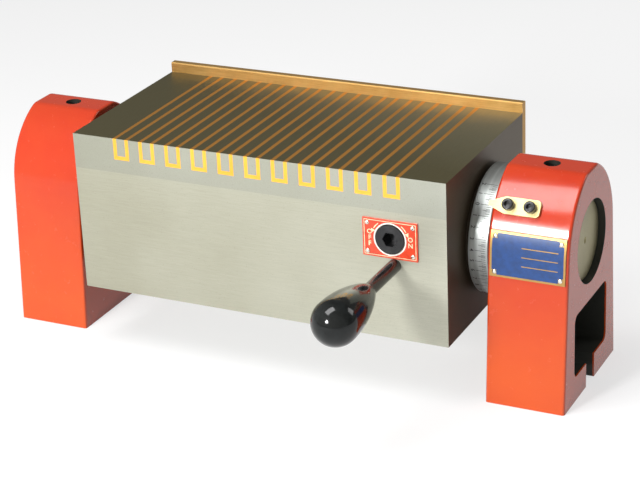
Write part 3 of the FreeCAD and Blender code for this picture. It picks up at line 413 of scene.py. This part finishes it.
# Blackened and oiled steel, or polished black moulding: near black, with faint clouds in its gloss.
def darkMaterial(name, colour, roughness, metallic=0.0, spread=0.08, coat=0.0):
    material, tree, shader = newMaterial(name, Metallic=metallic, Coat_Weight=coat, Coat_Roughness=0.04)
    cloud = noise(tree, objectPoint(tree), 120.0, 5.0, 0.65)
    lighter = tuple(min(1.0, c * 2.2 + 0.006) for c in colour)
    tree.links.new(blendOf(tree, remap(tree, cloud, 0, 1, 0.45, 0.75), colour, lighter),
                   shader.inputs["Base Color"])
    tree.links.new(remap(tree, cloud, roughness - spread / 2, roughness + spread, 0.3, 0.7),
                   shader.inputs["Roughness"])
    bumpOn(tree, shader, cloud, 0.00001, 0.4)
    return material


# Printed or filled enamel with a slightly uneven tone.
def printMaterial(name, colour, roughness=0.35):
    material, tree, shader = newMaterial(name, Coat_Weight=0.2, Coat_Roughness=0.1)
    cloud = noise(tree, objectPoint(tree), 260.0, 4.0, 0.6)
    worn = tuple(c * 0.72 for c in colour)
    tree.links.new(blendOf(tree, remap(tree, cloud, 0, 1, 0.35, 0.65), worn, colour),
                   shader.inputs["Base Color"])
    tree.links.new(remap(tree, cloud, roughness - 0.08, roughness + 0.1), shader.inputs["Roughness"])
    bumpOn(tree, shader, cloud, 0.000015, 0.5)
    return material


frontSteel = groundMaterial("ground steel, body")
faceSteel = groundMaterial("ground steel, work face", grain=(260, 6, 260), light=(0.44, 0.45, 0.39),
                           dark=(0.31, 0.31, 0.24))
barSteel = groundMaterial("ground steel, pole bars", grain=(260, 6, 260), light=(0.46, 0.46, 0.4),
                          dark=(0.32, 0.32, 0.25))
redEnamel = enamelMaterial("red enamel")
# painted shade on the trunnions between the housing and the brackets, in the groove by the graduated ring
endSteel = turnedMaterial("turned steel, trunnions", tiltAxis, gapShadeEdge=bracketLow[0] + 0.5 * mm)
ringSteel = turnedMaterial("turned steel, graduated ring", tiltAxis, light=(0.44, 0.46, 0.45),
                           dark=(0.3, 0.32, 0.31), roughness=0.36)
# painted shade: the channels' upward faces are painted much darker
channelBrass = brassMaterial("brass channels", (0.95, 0.5, 0.07), (0.8, 0.4, 0.05), 0.42, grain=(300, 8, 300),
                             metallic=0.7, top=(0.45, 0.2, 0.03))
pointerBrass = brassMaterial("brass pointer", (0.7, 0.6, 0.3), (0.58, 0.47, 0.2), 0.42, grain=(10, 300, 300),
                             metallic=0.8)
railBrass = brassMaterial("brass rail", (0.5, 0.3, 0.1), (0.36, 0.2, 0.055), 0.46, grain=(8, 300, 300),
                          metallic=0.8, top=(0.42, 0.26, 0.09))
bronze = brassMaterial("bearing bronze", (0.6, 0.4, 0.18), (0.42, 0.26, 0.1), 0.36)
pinSteel = brassMaterial("plated pins", (0.85, 0.83, 0.76), (0.6, 0.57, 0.48), 0.2)
blackSteel = darkMaterial("blackened steel", (0.012, 0.012, 0.013), 0.3, metallic=0.4, coat=0.3)
rodSteel = darkMaterial("polished black rod", (0.008, 0.006, 0.006), 0.16, coat=0.3)
knobPlastic = darkMaterial("black moulding", (0.002, 0.003, 0.003), 0.12, spread=0.03, coat=0.25)
knobPlastic.node_tree.nodes["Principled BSDF"].inputs["Specular IOR Level"].default_value = 0.25
rodSteel.node_tree.nodes["Principled BSDF"].inputs["Specular IOR Level"].default_value = 0.4
ferrite = darkMaterial("ferrite", (0.03, 0.03, 0.035), 0.6)
scaleBlack = printMaterial("black scale filling", (0.02, 0.02, 0.022), 0.6)
creamPrint = printMaterial("cream print", (0.86, 0.72, 0.46), 0.4)
whitePrint = printMaterial("white print", (0.9, 0.86, 0.78), 0.35)
plateRed = printMaterial("red plate", (0.68, 0.05, 0.012), 0.3)
print("materials made")

finishes = {
    "chuck_housing": frontSteel, "bottom_cover": frontSteel, "pole_plate": faceSteel, "pole_bars": barSteel,
    "brass_channels": channelBrass, "bracket_left": redEnamel, "bracket_right": redEnamel,
    "trunnion_left": endSteel, "trunnion_right": endSteel, "graduated_ring": ringSteel,
    "thrust_washer_left": bronze, "thrust_washer_right": bronze, "pointer": pointerBrass,
    "back_rail": railBrass, "switch_plate": plateRed, "switch_hub": blackSteel, "switch_shaft": blackSteel,
    "switch_bush": bronze, "handle_rod": rodSteel, "handle_knob": knobPlastic, "nameplate": pointerBrass,
    "nameplate_pins": pinSteel, "switch_pins": pinSteel, "clamp_pad_left": bronze, "clamp_pad_right": bronze,
    "clamp_screw_left": blackSteel, "clamp_screw_right": blackSteel, "magnet_tray": bronze,
    "north_pole_blocks": frontSteel, "south_pole_blocks": frontSteel, "magnets": ferrite,
    "guide_strip_front": bronze, "guide_strip_back": bronze, "rail_washers": ringSteel,
}
for name, node in frame["nodes"].items():
    node.data.materials.clear()
    node.data.materials.append(finishes.get(name, blackSteel))
print("CAD pieces finished")


# ---- graduated ring ----

ringScale = {
    "longTick": 8.2 * mm, "middleTick": 5.6 * mm, "shortTick": 3.2 * mm, "tickWidth": 0.32 * mm,
    "tickEnd": 2.0 * mm,  # from the ring's outer edge
    "digitHeight": 3.0 * mm, "digitGap": 0.9 * mm, "thickness": 0.05 * mm,
    "firstDegree": -20, "lastDegree": 100, "everyDegree": 2,
}
ringRadius = (ringHigh[2] - ringLow[2]) / 2
pointerMiddle = middleOf("pointer")
zeroAngle = np.arctan2(pointerMiddle[2] - tiltAxis[2], tiltAxis[1] - pointerMiddle[1])


# A flat patch laid on the ring: x stays along the axis, and v turns downwards from the pointer by v / radius.
def onRing(x, v, lift):
    angle = zeroAngle - v / ringRadius
    radius = ringRadius + lift
    return np.stack([x, tiltAxis[1] - radius * np.cos(angle), tiltAxis[2] + radius * np.sin(angle)], axis=-1)


# The outline and the inside of a letter, as flat points and faces, from the built-in font.
def textShape(text, height):
    curve = bpy.data.curves.new("lettering", "FONT")
    curve.body = text
    curve.align_x = "CENTER"
    curve.align_y = "CENTER"
    curve.size = height * 1.4
    curve.offset = height * 0.02
    curve.resolution_u = 3
    carrier = bpy.data.objects.new("lettering", curve)
    bpy.context.scene.collection.objects.link(carrier)
    bpy.context.view_layer.update()
    mesh = bpy.data.meshes.new_from_object(carrier.evaluated_get(bpy.context.evaluated_depsgraph_get()))
    points = np.zeros(len(mesh.vertices) * 3)
    mesh.vertices.foreach_get("co", points)
    faces = [list(polygon.vertices) for polygon in mesh.polygons]
    bpy.data.objects.remove(carrier)
    bpy.data.curves.remove(curve)
    bpy.data.meshes.remove(mesh)
    return points.reshape(-1, 3)[:, :2], faces


# Flat shapes stood up into thin ones: the outline is lifted, copied to the surface, and joined by walls.
def thinPiece(name, shapes, mapping, thickness, material, body):
    vertices, faces, first = [], [], 0
    for points, polygons in shapes:
        count = len(points)
        vertices += [mapping(points[:, 0], points[:, 1], lift) for lift in (thickness, -thickness)]
        faces += [[first + i for i in polygon] for polygon in polygons]
        faces += [[first + count + i for i in reversed(polygon)] for polygon in polygons]
        edges = {}
        for polygon in polygons:
            for a, b in zip(polygon, polygon[1:] + polygon[:1]):
                if (b, a) in edges:
                    del edges[(b, a)]
                else:
                    edges[(a, b)] = True
        faces += [[first + b, first + a, first + count + a, first + count + b] for a, b in edges]
        first += 2 * count
    return makePiece(name, np.concatenate(vertices), faces, material, body, weld=True)


def rectangle(left, right, low, high):
    return np.array([[left, low], [right, low], [right, high], [left, high]]), [[0, 1, 2, 3]]


degrees = np.arange(ringScale["firstDegree"], ringScale["lastDegree"] + 1, ringScale["everyDegree"])
degrees = np.union1d(degrees, np.arange(ringScale["firstDegree"], ringScale["lastDegree"] + 1, 5))
tickRight = ringHigh[0] - ringScale["tickEnd"]
shapes = []
for degree in degrees:
    kind = "longTick" if degree % 10 == 0 else "middleTick" if degree % 5 == 0 else "shortTick"
    v = radians(degree) * ringRadius
    half = ringScale["tickWidth"] / 2
    shapes.append(rectangle(tickRight - ringScale[kind], tickRight, v - half, v + half))
digitMiddle = tickRight - ringScale["longTick"] - ringScale["digitGap"] - ringScale["digitHeight"] / 2
for degree in range(ringScale["firstDegree"], ringScale["lastDegree"] + 1, 10):
    points, polygons = textShape(str(abs(degree) // 10), ringScale["digitHeight"])
    turned = np.stack([digitMiddle + points[:, 1], radians(degree) * ringRadius + points[:, 0]], axis=1)
    shapes.append((turned, [polygon[::-1] for polygon in polygons]))
thinPiece("ringScaleMarks", shapes, onRing, ringScale["thickness"], scaleBlack, "chuck")
print("ring scale made")


# ---- socket screws ----

socketScrew = {"knurls": 36, "knurlDepth": 0.035, "rim": 0.12, "sides": 216}


# A cap screw from its hidden tip to the floor of its socket: straight knurls round the head, a round rim,
# and a hexagon whose radius is half its width divided by the cosine of the angle from the nearest flat.
def screwGrid(seat, along, thread, shank, head, height, key):
    inner = key / np.sqrt(3)
    rim = head * socketScrew["rim"]
    corners = [(thread / 2, -shank), (thread / 2, 0), (head / 2, 0), (head / 2, height), (inner, height)]
    body = roundedPath(corners, [0, 0, rim], 6)
    chamfer = key * 0.06
    socketTop = np.array([(inner + chamfer, height), (inner, height - chamfer),
                          (inner, height * 0.45), (0, height * 0.4)])
    profile = np.concatenate([[(0, -shank)], body[:-1], socketTop])
    isSocket = np.arange(len(profile)) >= len(profile) - 3
    level = profile[:, 1]
    isSide = (profile[:, 0] > head / 2 * 0.99) & (level > rim * 0.4) & (level < height - rim * 0.9)

    def shape(radius, level, angle):
        made = radius * np.ones_like(angle)
        knurl = 1 - socketScrew["knurlDepth"] * (0.5 + 0.5 * np.cos(angle * socketScrew["knurls"]))
        made = np.where(isSide[:, None], made * knurl, made)
        flats = hexagonRadius(key, angle) / inner
        return np.where(isSocket[:, None], made * flats, made)

    return turnedGrid(profile, seat, along, socketScrew["sides"], shape)


pointerSlope = radians(36)
outward = np.array([0, -np.cos(pointerSlope), np.sin(pointerSlope)])
pointerScrew = {"thread": 5 * mm, "shank": 9 * mm, "head": 8.5 * mm, "height": 5 * mm, "key": 4 * mm}
low, high = boxOf("pointer_screws")
headHalf = pointerScrew["head"] / 2
# The head's top rim touches the node's box in front and above, which gives the seat's place.
top = np.array([0, low[1] + headHalf * np.sin(pointerSlope), high[2] - headHalf * np.cos(pointerSlope)])
screwSize = [pointerScrew[name] for name in ("thread", "shank", "head", "height", "key")]
seat = top - outward * pointerScrew["height"]
screwGrids = [screwGrid(seat + np.array([x, 0, 0]), outward, *screwSize)
              for x in (low[0] + headHalf, high[0] - headHalf)]
piece = pieceFromGrids("pointerScrews", screwGrids, blackSteel, "brackets", 28)
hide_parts("pointer_screws")

railScrew = {"thread": 6 * mm, "shank": 16 * mm, "head": 10 * mm, "height": 6 * mm, "key": 5 * mm}
low, high = boxOf("rail_screws")
headHalf = railScrew["head"] / 2
seatY = high[1] - railScrew["height"]
spots = np.linspace(low[0] + headHalf, high[0] - headHalf, 3)
screwSize = [railScrew[name] for name in ("thread", "shank", "head", "height", "key")]
screwGrids = [screwGrid((x, seatY, (low[2] + high[2]) / 2), (0, 1, 0), *screwSize) for x in spots]
piece = pieceFromGrids("railScrews", screwGrids, blackSteel, "chuck", 28)
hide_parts("rail_screws")
print("screws made")


# ---- plates ----

switchPrint = {
    "border": 1.1 * mm, "line": 0.45 * mm, "ring": 0.55 * mm, "thickness": 0.06 * mm, "letters": 3.6 * mm,
    "letterColumn": 15.6 * mm, "arrowRadius": 14.2 * mm, "arrowLine": 0.7 * mm, "arrowHead": 3.2 * mm,
}
sheetLow, sheetHigh = boxOf("switch_plate")
hubLow, hubHigh = boxOf("switch_hub")
hubRadius = (hubHigh[0] - hubLow[0]) / 2


# On the switch plate: x and height stay, and the lift points out of the front.
def onSwitchPlate(x, z, lift):
    return np.stack([switchAxis[0] + x, np.full_like(x, sheetLow[1]) - lift, switchAxis[2] + z], axis=-1)


def arcBand(radius, width, start, end, steps=24):
    angle = np.radians(np.linspace(start, end, steps))
    inner = np.stack([np.cos(angle), np.sin(angle)], axis=1) * (radius - width / 2)
    outer = np.stack([np.cos(angle), np.sin(angle)], axis=1) * (radius + width / 2)
    faces = [[i, steps + i, steps + i + 1, i + 1] for i in range(steps - 1)]
    return np.concatenate([inner, outer]), faces


def frameShapes(left, right, low, high, width):
    return [rectangle(left, right, low, low + width), rectangle(left, right, high - width, high),
            rectangle(left, left + width, low + width, high - width),
            rectangle(right - width, right, low + width, high - width)]


halfWide = (sheetHigh[0] - sheetLow[0]) / 2
halfHigh = (sheetHigh[2] - sheetLow[2]) / 2
inset = switchPrint["border"]
shapes = frameShapes(-halfWide + inset, halfWide - inset, -halfHigh + inset, halfHigh - inset,
                     switchPrint["line"])
for word, side in (("OFF", -1), ("ON", 1)):
    step = switchPrint["letters"] * 1.25
    for number, letter in enumerate(word):
        points, polygons = textShape(letter, switchPrint["letters"])
        drop = ((len(word) - 1) / 2 - number) * step - 0.5 * mm
        shapes.append((points + [side * switchPrint["letterColumn"], drop], polygons))
    start, end = (150, 128) if side < 0 else (30, 52)
    shapes.append(arcBand(switchPrint["arrowRadius"], switchPrint["arrowLine"], start, end, 8))
    tip = np.radians(start + side * -4)
    direction = np.array([-np.sin(tip), np.cos(tip)]) * -side * -1
    centre = np.array([np.cos(tip), np.sin(tip)]) * switchPrint["arrowRadius"]
    across = np.array([np.cos(tip), np.sin(tip)]) * switchPrint["arrowHead"] / 2
    point = centre + np.array([np.sin(tip), -np.cos(tip)]) * side * switchPrint["arrowHead"]
    triangle = np.array([centre - across, centre + across, point])
    shapes.append((triangle, [[0, 1, 2]] if side > 0 else [[0, 2, 1]]))
thinPiece("switchPlatePrint", shapes, onSwitchPlate, switchPrint["thickness"], creamPrint, "chuck")
steps = 72
ringWidth = switchPrint["ring"] + 0.5 * mm
points, polygons = arcBand(hubRadius + 0.75 * mm + switchPrint["ring"] / 2, ringWidth, 0, 360 - 360 / steps, steps)
polygons.append([steps - 1, 2 * steps - 1, steps, 0])
thinPiece("switchRing", [(points, polygons)], onSwitchPlate, switchPrint["thickness"] * 1.5, whitePrint,
          "chuck")
print("switch plate printed")


# ---- nameplate ----

nameplate = {
    "border": 1.5 * mm, "notch": 5.2 * mm, "rule": 0.7 * mm, "ruleLeft": 0.42, "ruleRight": 0.9,
    "ruleLevels": (0.7, 0.5, 0.3), "columns": 60, "rows": 36, "blue": (0.0, 0.045, 0.2),
    "brass": (0.5, 0.3, 0.09),
}
plateLowCorner, plateHighCorner = boxOf("nameplate")
barrel = {"radius": 60 * mm, "slopeFoot": 57 * mm, "slopeWaist": 49.5 * mm, "shoulder": 116 * mm}
lean = np.arctan2(barrel["slopeFoot"] - barrel["slopeWaist"], barrel["shoulder"])
barrelY = barrel["slopeWaist"] - barrel["radius"] * np.cos(lean)
barrelZ = barrel["shoulder"] - barrel["radius"] * np.sin(lean)


# The bracket's front at a height: a leaning plane below the shoulder and a circle above it, moved out by lift.
def onFront(x, z, lift):
    plane = -barrel["slopeFoot"] + z * np.tan(lean) - lift / np.cos(lean)
    radius = barrel["radius"] + lift
    arc = -barrelY - np.sqrt(np.maximum(radius ** 2 - (z - barrelZ) ** 2, 0))
    return np.stack([x, np.where(z < barrel["shoulder"] + lift * np.sin(lean), plane, arc), z], axis=-1)


# The skin of the plate: a sheet of points over the front face, carried back round its edges as a closed shell.
def nameplateShell(thickness):
    columns, rows = nameplate["columns"], nameplate["rows"]
    u, v = np.meshgrid(np.linspace(0, 1, columns), np.linspace(0, 1, rows))
    x = plateLowCorner[0] + u * (plateHighCorner[0] - plateLowCorner[0])
    z = plateLowCorner[2] + v * (plateHighCorner[2] - plateLowCorner[2])
    front, back = onFront(x, z, thickness), onFront(x, z, np.zeros_like(x) + 0.02 * mm)
    vertices = np.concatenate([front.reshape(-1, 3), back.reshape(-1, 3)])
    count = rows * columns
    sheet = gridFaces(rows, columns, wrapColumns=False)
    index = np.arange(count).reshape(rows, columns)
    rim = np.concatenate([index[0, :], index[1:, -1], index[-1, -2::-1], index[-2:0:-1, 0]])
    walls = np.stack([rim, np.roll(rim, -1), np.roll(rim, -1) + count, rim + count], axis=-1)
    width, height = plateHighCorner[0] - plateLowCorner[0], plateHighCorner[2] - plateLowCorner[2]
    uv = np.stack([u * width, v * height], axis=-1)
    return vertices, np.concatenate([sheet, sheet[:, ::-1] + count, walls]), np.tile(uv.reshape(-1, 2), (2, 1))


def nameplateMaterial(width, height):
    material, tree, shader = newMaterial("nameplate enamel and brass", Coat_Weight=0.3, Coat_Roughness=0.15)
    uv = addNode(tree, "ShaderNodeAttribute", attribute_name="place")
    parts = addNode(tree, "ShaderNodeSeparateXYZ", {0: uv.outputs["Vector"]}).outputs

    def fromEdge(value, size):
        return mathOf(tree, "MINIMUM", value, mathOf(tree, "SUBTRACT", size, value))

    acrossEdge, upEdge = fromEdge(parts["X"], width), fromEdge(parts["Y"], height)
    border = mathOf(tree, "LESS_THAN", mathOf(tree, "MINIMUM", acrossEdge, upEdge), nameplate["border"])
    corner = mathOf(tree, "LESS_THAN", mathOf(tree, "MAXIMUM", acrossEdge, upEdge), nameplate["notch"])
    brass = mathOf(tree, "MAXIMUM", border, corner)
    for level in nameplate["ruleLevels"]:
        fromRule = mathOf(tree, "ABSOLUTE", mathOf(tree, "SUBTRACT", parts["Y"], level * height))
        near = mathOf(tree, "LESS_THAN", fromRule, nameplate["rule"] / 2)
        started = mathOf(tree, "GREATER_THAN", parts["X"], nameplate["ruleLeft"] * width)
        inside = mathOf(tree, "MULTIPLY", started,
                        mathOf(tree, "LESS_THAN", parts["X"], nameplate["ruleRight"] * width))
        brass = mathOf(tree, "MAXIMUM", brass, mathOf(tree, "MULTIPLY", near, inside))
    cloud = noise(tree, objectPoint(tree), 220.0, 4.0, 0.6)
    darkBlue = tuple(c * 0.7 for c in nameplate["blue"])
    field = blendOf(tree, remap(tree, cloud, 0, 1, 0.35, 0.65), darkBlue, nameplate["blue"])
    metal = blendOf(tree, cloud, tuple(c * 0.7 for c in nameplate["brass"]), nameplate["brass"])
    tree.links.new(blendOf(tree, brass, field, metal), shader.inputs["Base Color"])
    tree.links.new(mathOf(tree, "MULTIPLY", brass, 0.7), shader.inputs["Metallic"])
    tree.links.new(remap(tree, cloud, 0.3, 0.42), shader.inputs["Roughness"])
    bumpOn(tree, shader, mathOf(tree, "ADD", brass, mathOf(tree, "MULTIPLY", cloud, 0.1)), 0.00012, 0.6)
    return material


plateSize = plateHighCorner - plateLowCorner
vertices, faces, uv = nameplateShell(1.15 * mm)
plateSkin = nameplateMaterial(float(plateSize[0]), float(plateSize[2]))
skin = makePiece("nameplateSkin", vertices, faces, plateSkin, "brackets", 40, weld=False)
place = skin.data.attributes.new("place", "FLOAT_VECTOR", "POINT")
place.data.foreach_set("vector", np.concatenate([uv, np.zeros((len(uv), 1))], axis=1).ravel())
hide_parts("nameplate")


# ---- pins ----

pin = {"head": 1.7 * mm, "height": 0.9 * mm, "shank": 1.2 * mm, "length": 4 * mm, "inset": 3.6 * mm,
       "sides": 32}


# A drive pin: a straight shank, then a dome that is a quarter of an ellipse.
def pinGrid(seat, along):
    quarter = np.linspace(0, np.pi / 2, 8)
    dome = np.stack([pin["head"] * np.cos(quarter), pin["height"] * (0.15 + 0.85 * np.sin(quarter))], axis=1)
    shank = [(0, -pin["length"]), (pin["shank"], -pin["length"]), (pin["shank"], 0), (pin["head"], 0)]
    profile = np.concatenate([shank, dome])
    profile[-1, 0] = 0
    return turnedGrid(profile, seat, along, pin["sides"])


grids = []
for x in (plateLowCorner[0] + pin["inset"], plateHighCorner[0] - pin["inset"]):
    for z in (plateLowCorner[2] + pin["inset"], plateHighCorner[2] - pin["inset"]):
        outerSpot = onFront(np.array(x), np.array(z), 1.2 * mm)
        angle = lean if z < barrel["shoulder"] else np.arcsin((z - barrelZ) / barrel["radius"])
        grids.append(pinGrid(outerSpot, (0, -np.cos(angle), np.sin(angle))))
piece = pieceFromGrids("nameplatePins", grids, pinSteel, "brackets", 50)
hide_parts("nameplate_pins")
grids = []
for x in (sheetLow[0] + pin["inset"], sheetHigh[0] - pin["inset"]):
    for z in (sheetLow[2] + pin["inset"], sheetHigh[2] - pin["inset"]):
        grids.append(pinGrid((x, sheetLow[1], z), (0, -1, 0)))
piece = pieceFromGrids("switchPins", grids, pinSteel, "chuck", 50)
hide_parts("switch_pins")
print("nameplate and pins made")


# ---- camera, light, floor ----

camera = {"place": (0.6395, -1.2488, 0.6841), "turn": (66.701, 2.331, 25.613), "lens": 112.3,
          "shift": (-0.0014, -0.0042)}
cameraData = bpy.data.cameras.new("camera")
cameraData.lens = camera["lens"]
cameraData.sensor_width = 36
cameraData.shift_x, cameraData.shift_y = camera["shift"]
cameraObject = bpy.data.objects.new("camera", cameraData)
cameraObject.location = camera["place"]
cameraObject.rotation_euler = [radians(a) for a in camera["turn"]]
bpy.context.scene.collection.objects.link(cameraObject)
bpy.context.scene.camera = cameraObject


def areaLight(name, direction, distance, size, power, colour=(1, 1, 1), aim=(0.02, -0.02, 0.11)):
    data = bpy.data.lights.new(name, "AREA")
    data.shape = "RECTANGLE"
    data.size, data.size_y = size
    data.energy = power
    data.color = colour
    lamp = bpy.data.objects.new(name, data)
    direction = np.array(direction, float) / np.linalg.norm(direction)
    lamp.location = np.array(aim) + direction * distance
    back = direction
    side = np.cross((0, 0, 1), back)
    side /= np.linalg.norm(side)
    up = np.cross(back, side)
    matrix = np.eye(4)
    matrix[:3, 0], matrix[:3, 1], matrix[:3, 2], matrix[:3, 3] = side, up, back, lamp.location
    lamp.matrix_world = Matrix(matrix.tolist())
    bpy.context.scene.collection.objects.link(lamp)
    return lamp


areaLight("softbox above", (-0.30, -0.36, 0.88), 1.3, (0.5, 0.85), 12, aim=(0.18, -0.03, 0.15))
areaLight("lamp left of the front", (-0.316, -0.89, 0.33), 1.5, (0.22, 0.22), 20, aim=(0.2, -0.05, 0.13))
areaLight("fill behind", (0.7, 0.6, 0.5), 2.4, (0.9, 0.9), 9)

world = bpy.data.worlds.new("studio")
bpy.context.scene.world = world
world.use_nodes = True
tree = world.node_tree
tree.nodes.clear()
path = addNode(tree, "ShaderNodeLightPath")
direction = addNode(tree, "ShaderNodeTexCoord").outputs["Generated"]
parts = addNode(tree, "ShaderNodeSeparateXYZ", {0: direction})
towards = addNode(tree, "ShaderNodeVectorMath", {0: direction, 1: (-0.3, -0.9, 0.1)}, operation="DOT_PRODUCT")
front = addNode(tree, "ShaderNodeMapRange", {"Value": towards.outputs["Value"], "From Min": -0.4, "From Max": 0.9,
                                             "To Min": 0.24, "To Max": 0.95})
ambient = addNode(tree, "ShaderNodeBackground", {"Color": (1, 1, 1, 1), "Strength": 0.42})
reflected = addNode(tree, "ShaderNodeBackground", {"Color": (1, 0.98, 0.93, 1),
                                                   "Strength": front.outputs["Result"]})
white = addNode(tree, "ShaderNodeBackground", {"Color": (1, 1, 1, 1), "Strength": 1.0})
gloss = mathOf(tree, "MAXIMUM", path.outputs["Is Glossy Ray"], path.outputs["Is Transmission Ray"])
first = addNode(tree, "ShaderNodeMixShader", {0: gloss, 1: ambient.outputs[0], 2: reflected.outputs[0]})
last = addNode(tree, "ShaderNodeMixShader", {0: path.outputs["Is Camera Ray"], 1: first.outputs[0],
                                             2: white.outputs[0]})
output = addNode(tree, "ShaderNodeOutputWorld")
tree.links.new(last.outputs[0], output.inputs["Surface"])

floorLook = {"half": 6.0, "grey": 0.9, "glow": 0.6}  # glow is the share of plain white seen in the floor
half = floorLook["half"]
mesh = bpy.data.meshes.new("floor")
mesh.from_pydata([(-half, -half, 0), (half, -half, 0), (half, half, 0), (-half, half, 0)], [], [(0, 1, 2, 3)])
floor = bpy.data.objects.new("floor", mesh)
bpy.context.scene.collection.objects.link(floor)
material = bpy.data.materials.new("pale floor")
material.use_nodes = True
tree = material.node_tree
tree.nodes.clear()
path = addNode(tree, "ShaderNodeLightPath")
matt = addNode(tree, "ShaderNodeBsdfDiffuse", {"Color": (*[floorLook["grey"]] * 3, 1)})
bright = addNode(tree, "ShaderNodeEmission", {"Color": (1, 1, 1, 1), "Strength": 1.0})
seen = mathOf(tree, "MAXIMUM", path.outputs["Is Camera Ray"], path.outputs["Is Glossy Ray"])
share = mathOf(tree, "MULTIPLY", seen, floorLook["glow"])
mixed = addNode(tree, "ShaderNodeMixShader", {0: share, 1: matt.outputs[0], 2: bright.outputs[0]})
output = addNode(tree, "ShaderNodeOutputMaterial")
tree.links.new(mixed.outputs[0], output.inputs["Surface"])
mesh.materials.append(material)
floor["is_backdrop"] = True

bpy.context.scene.view_settings.view_transform = "Standard"
print("stage set")

low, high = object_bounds()
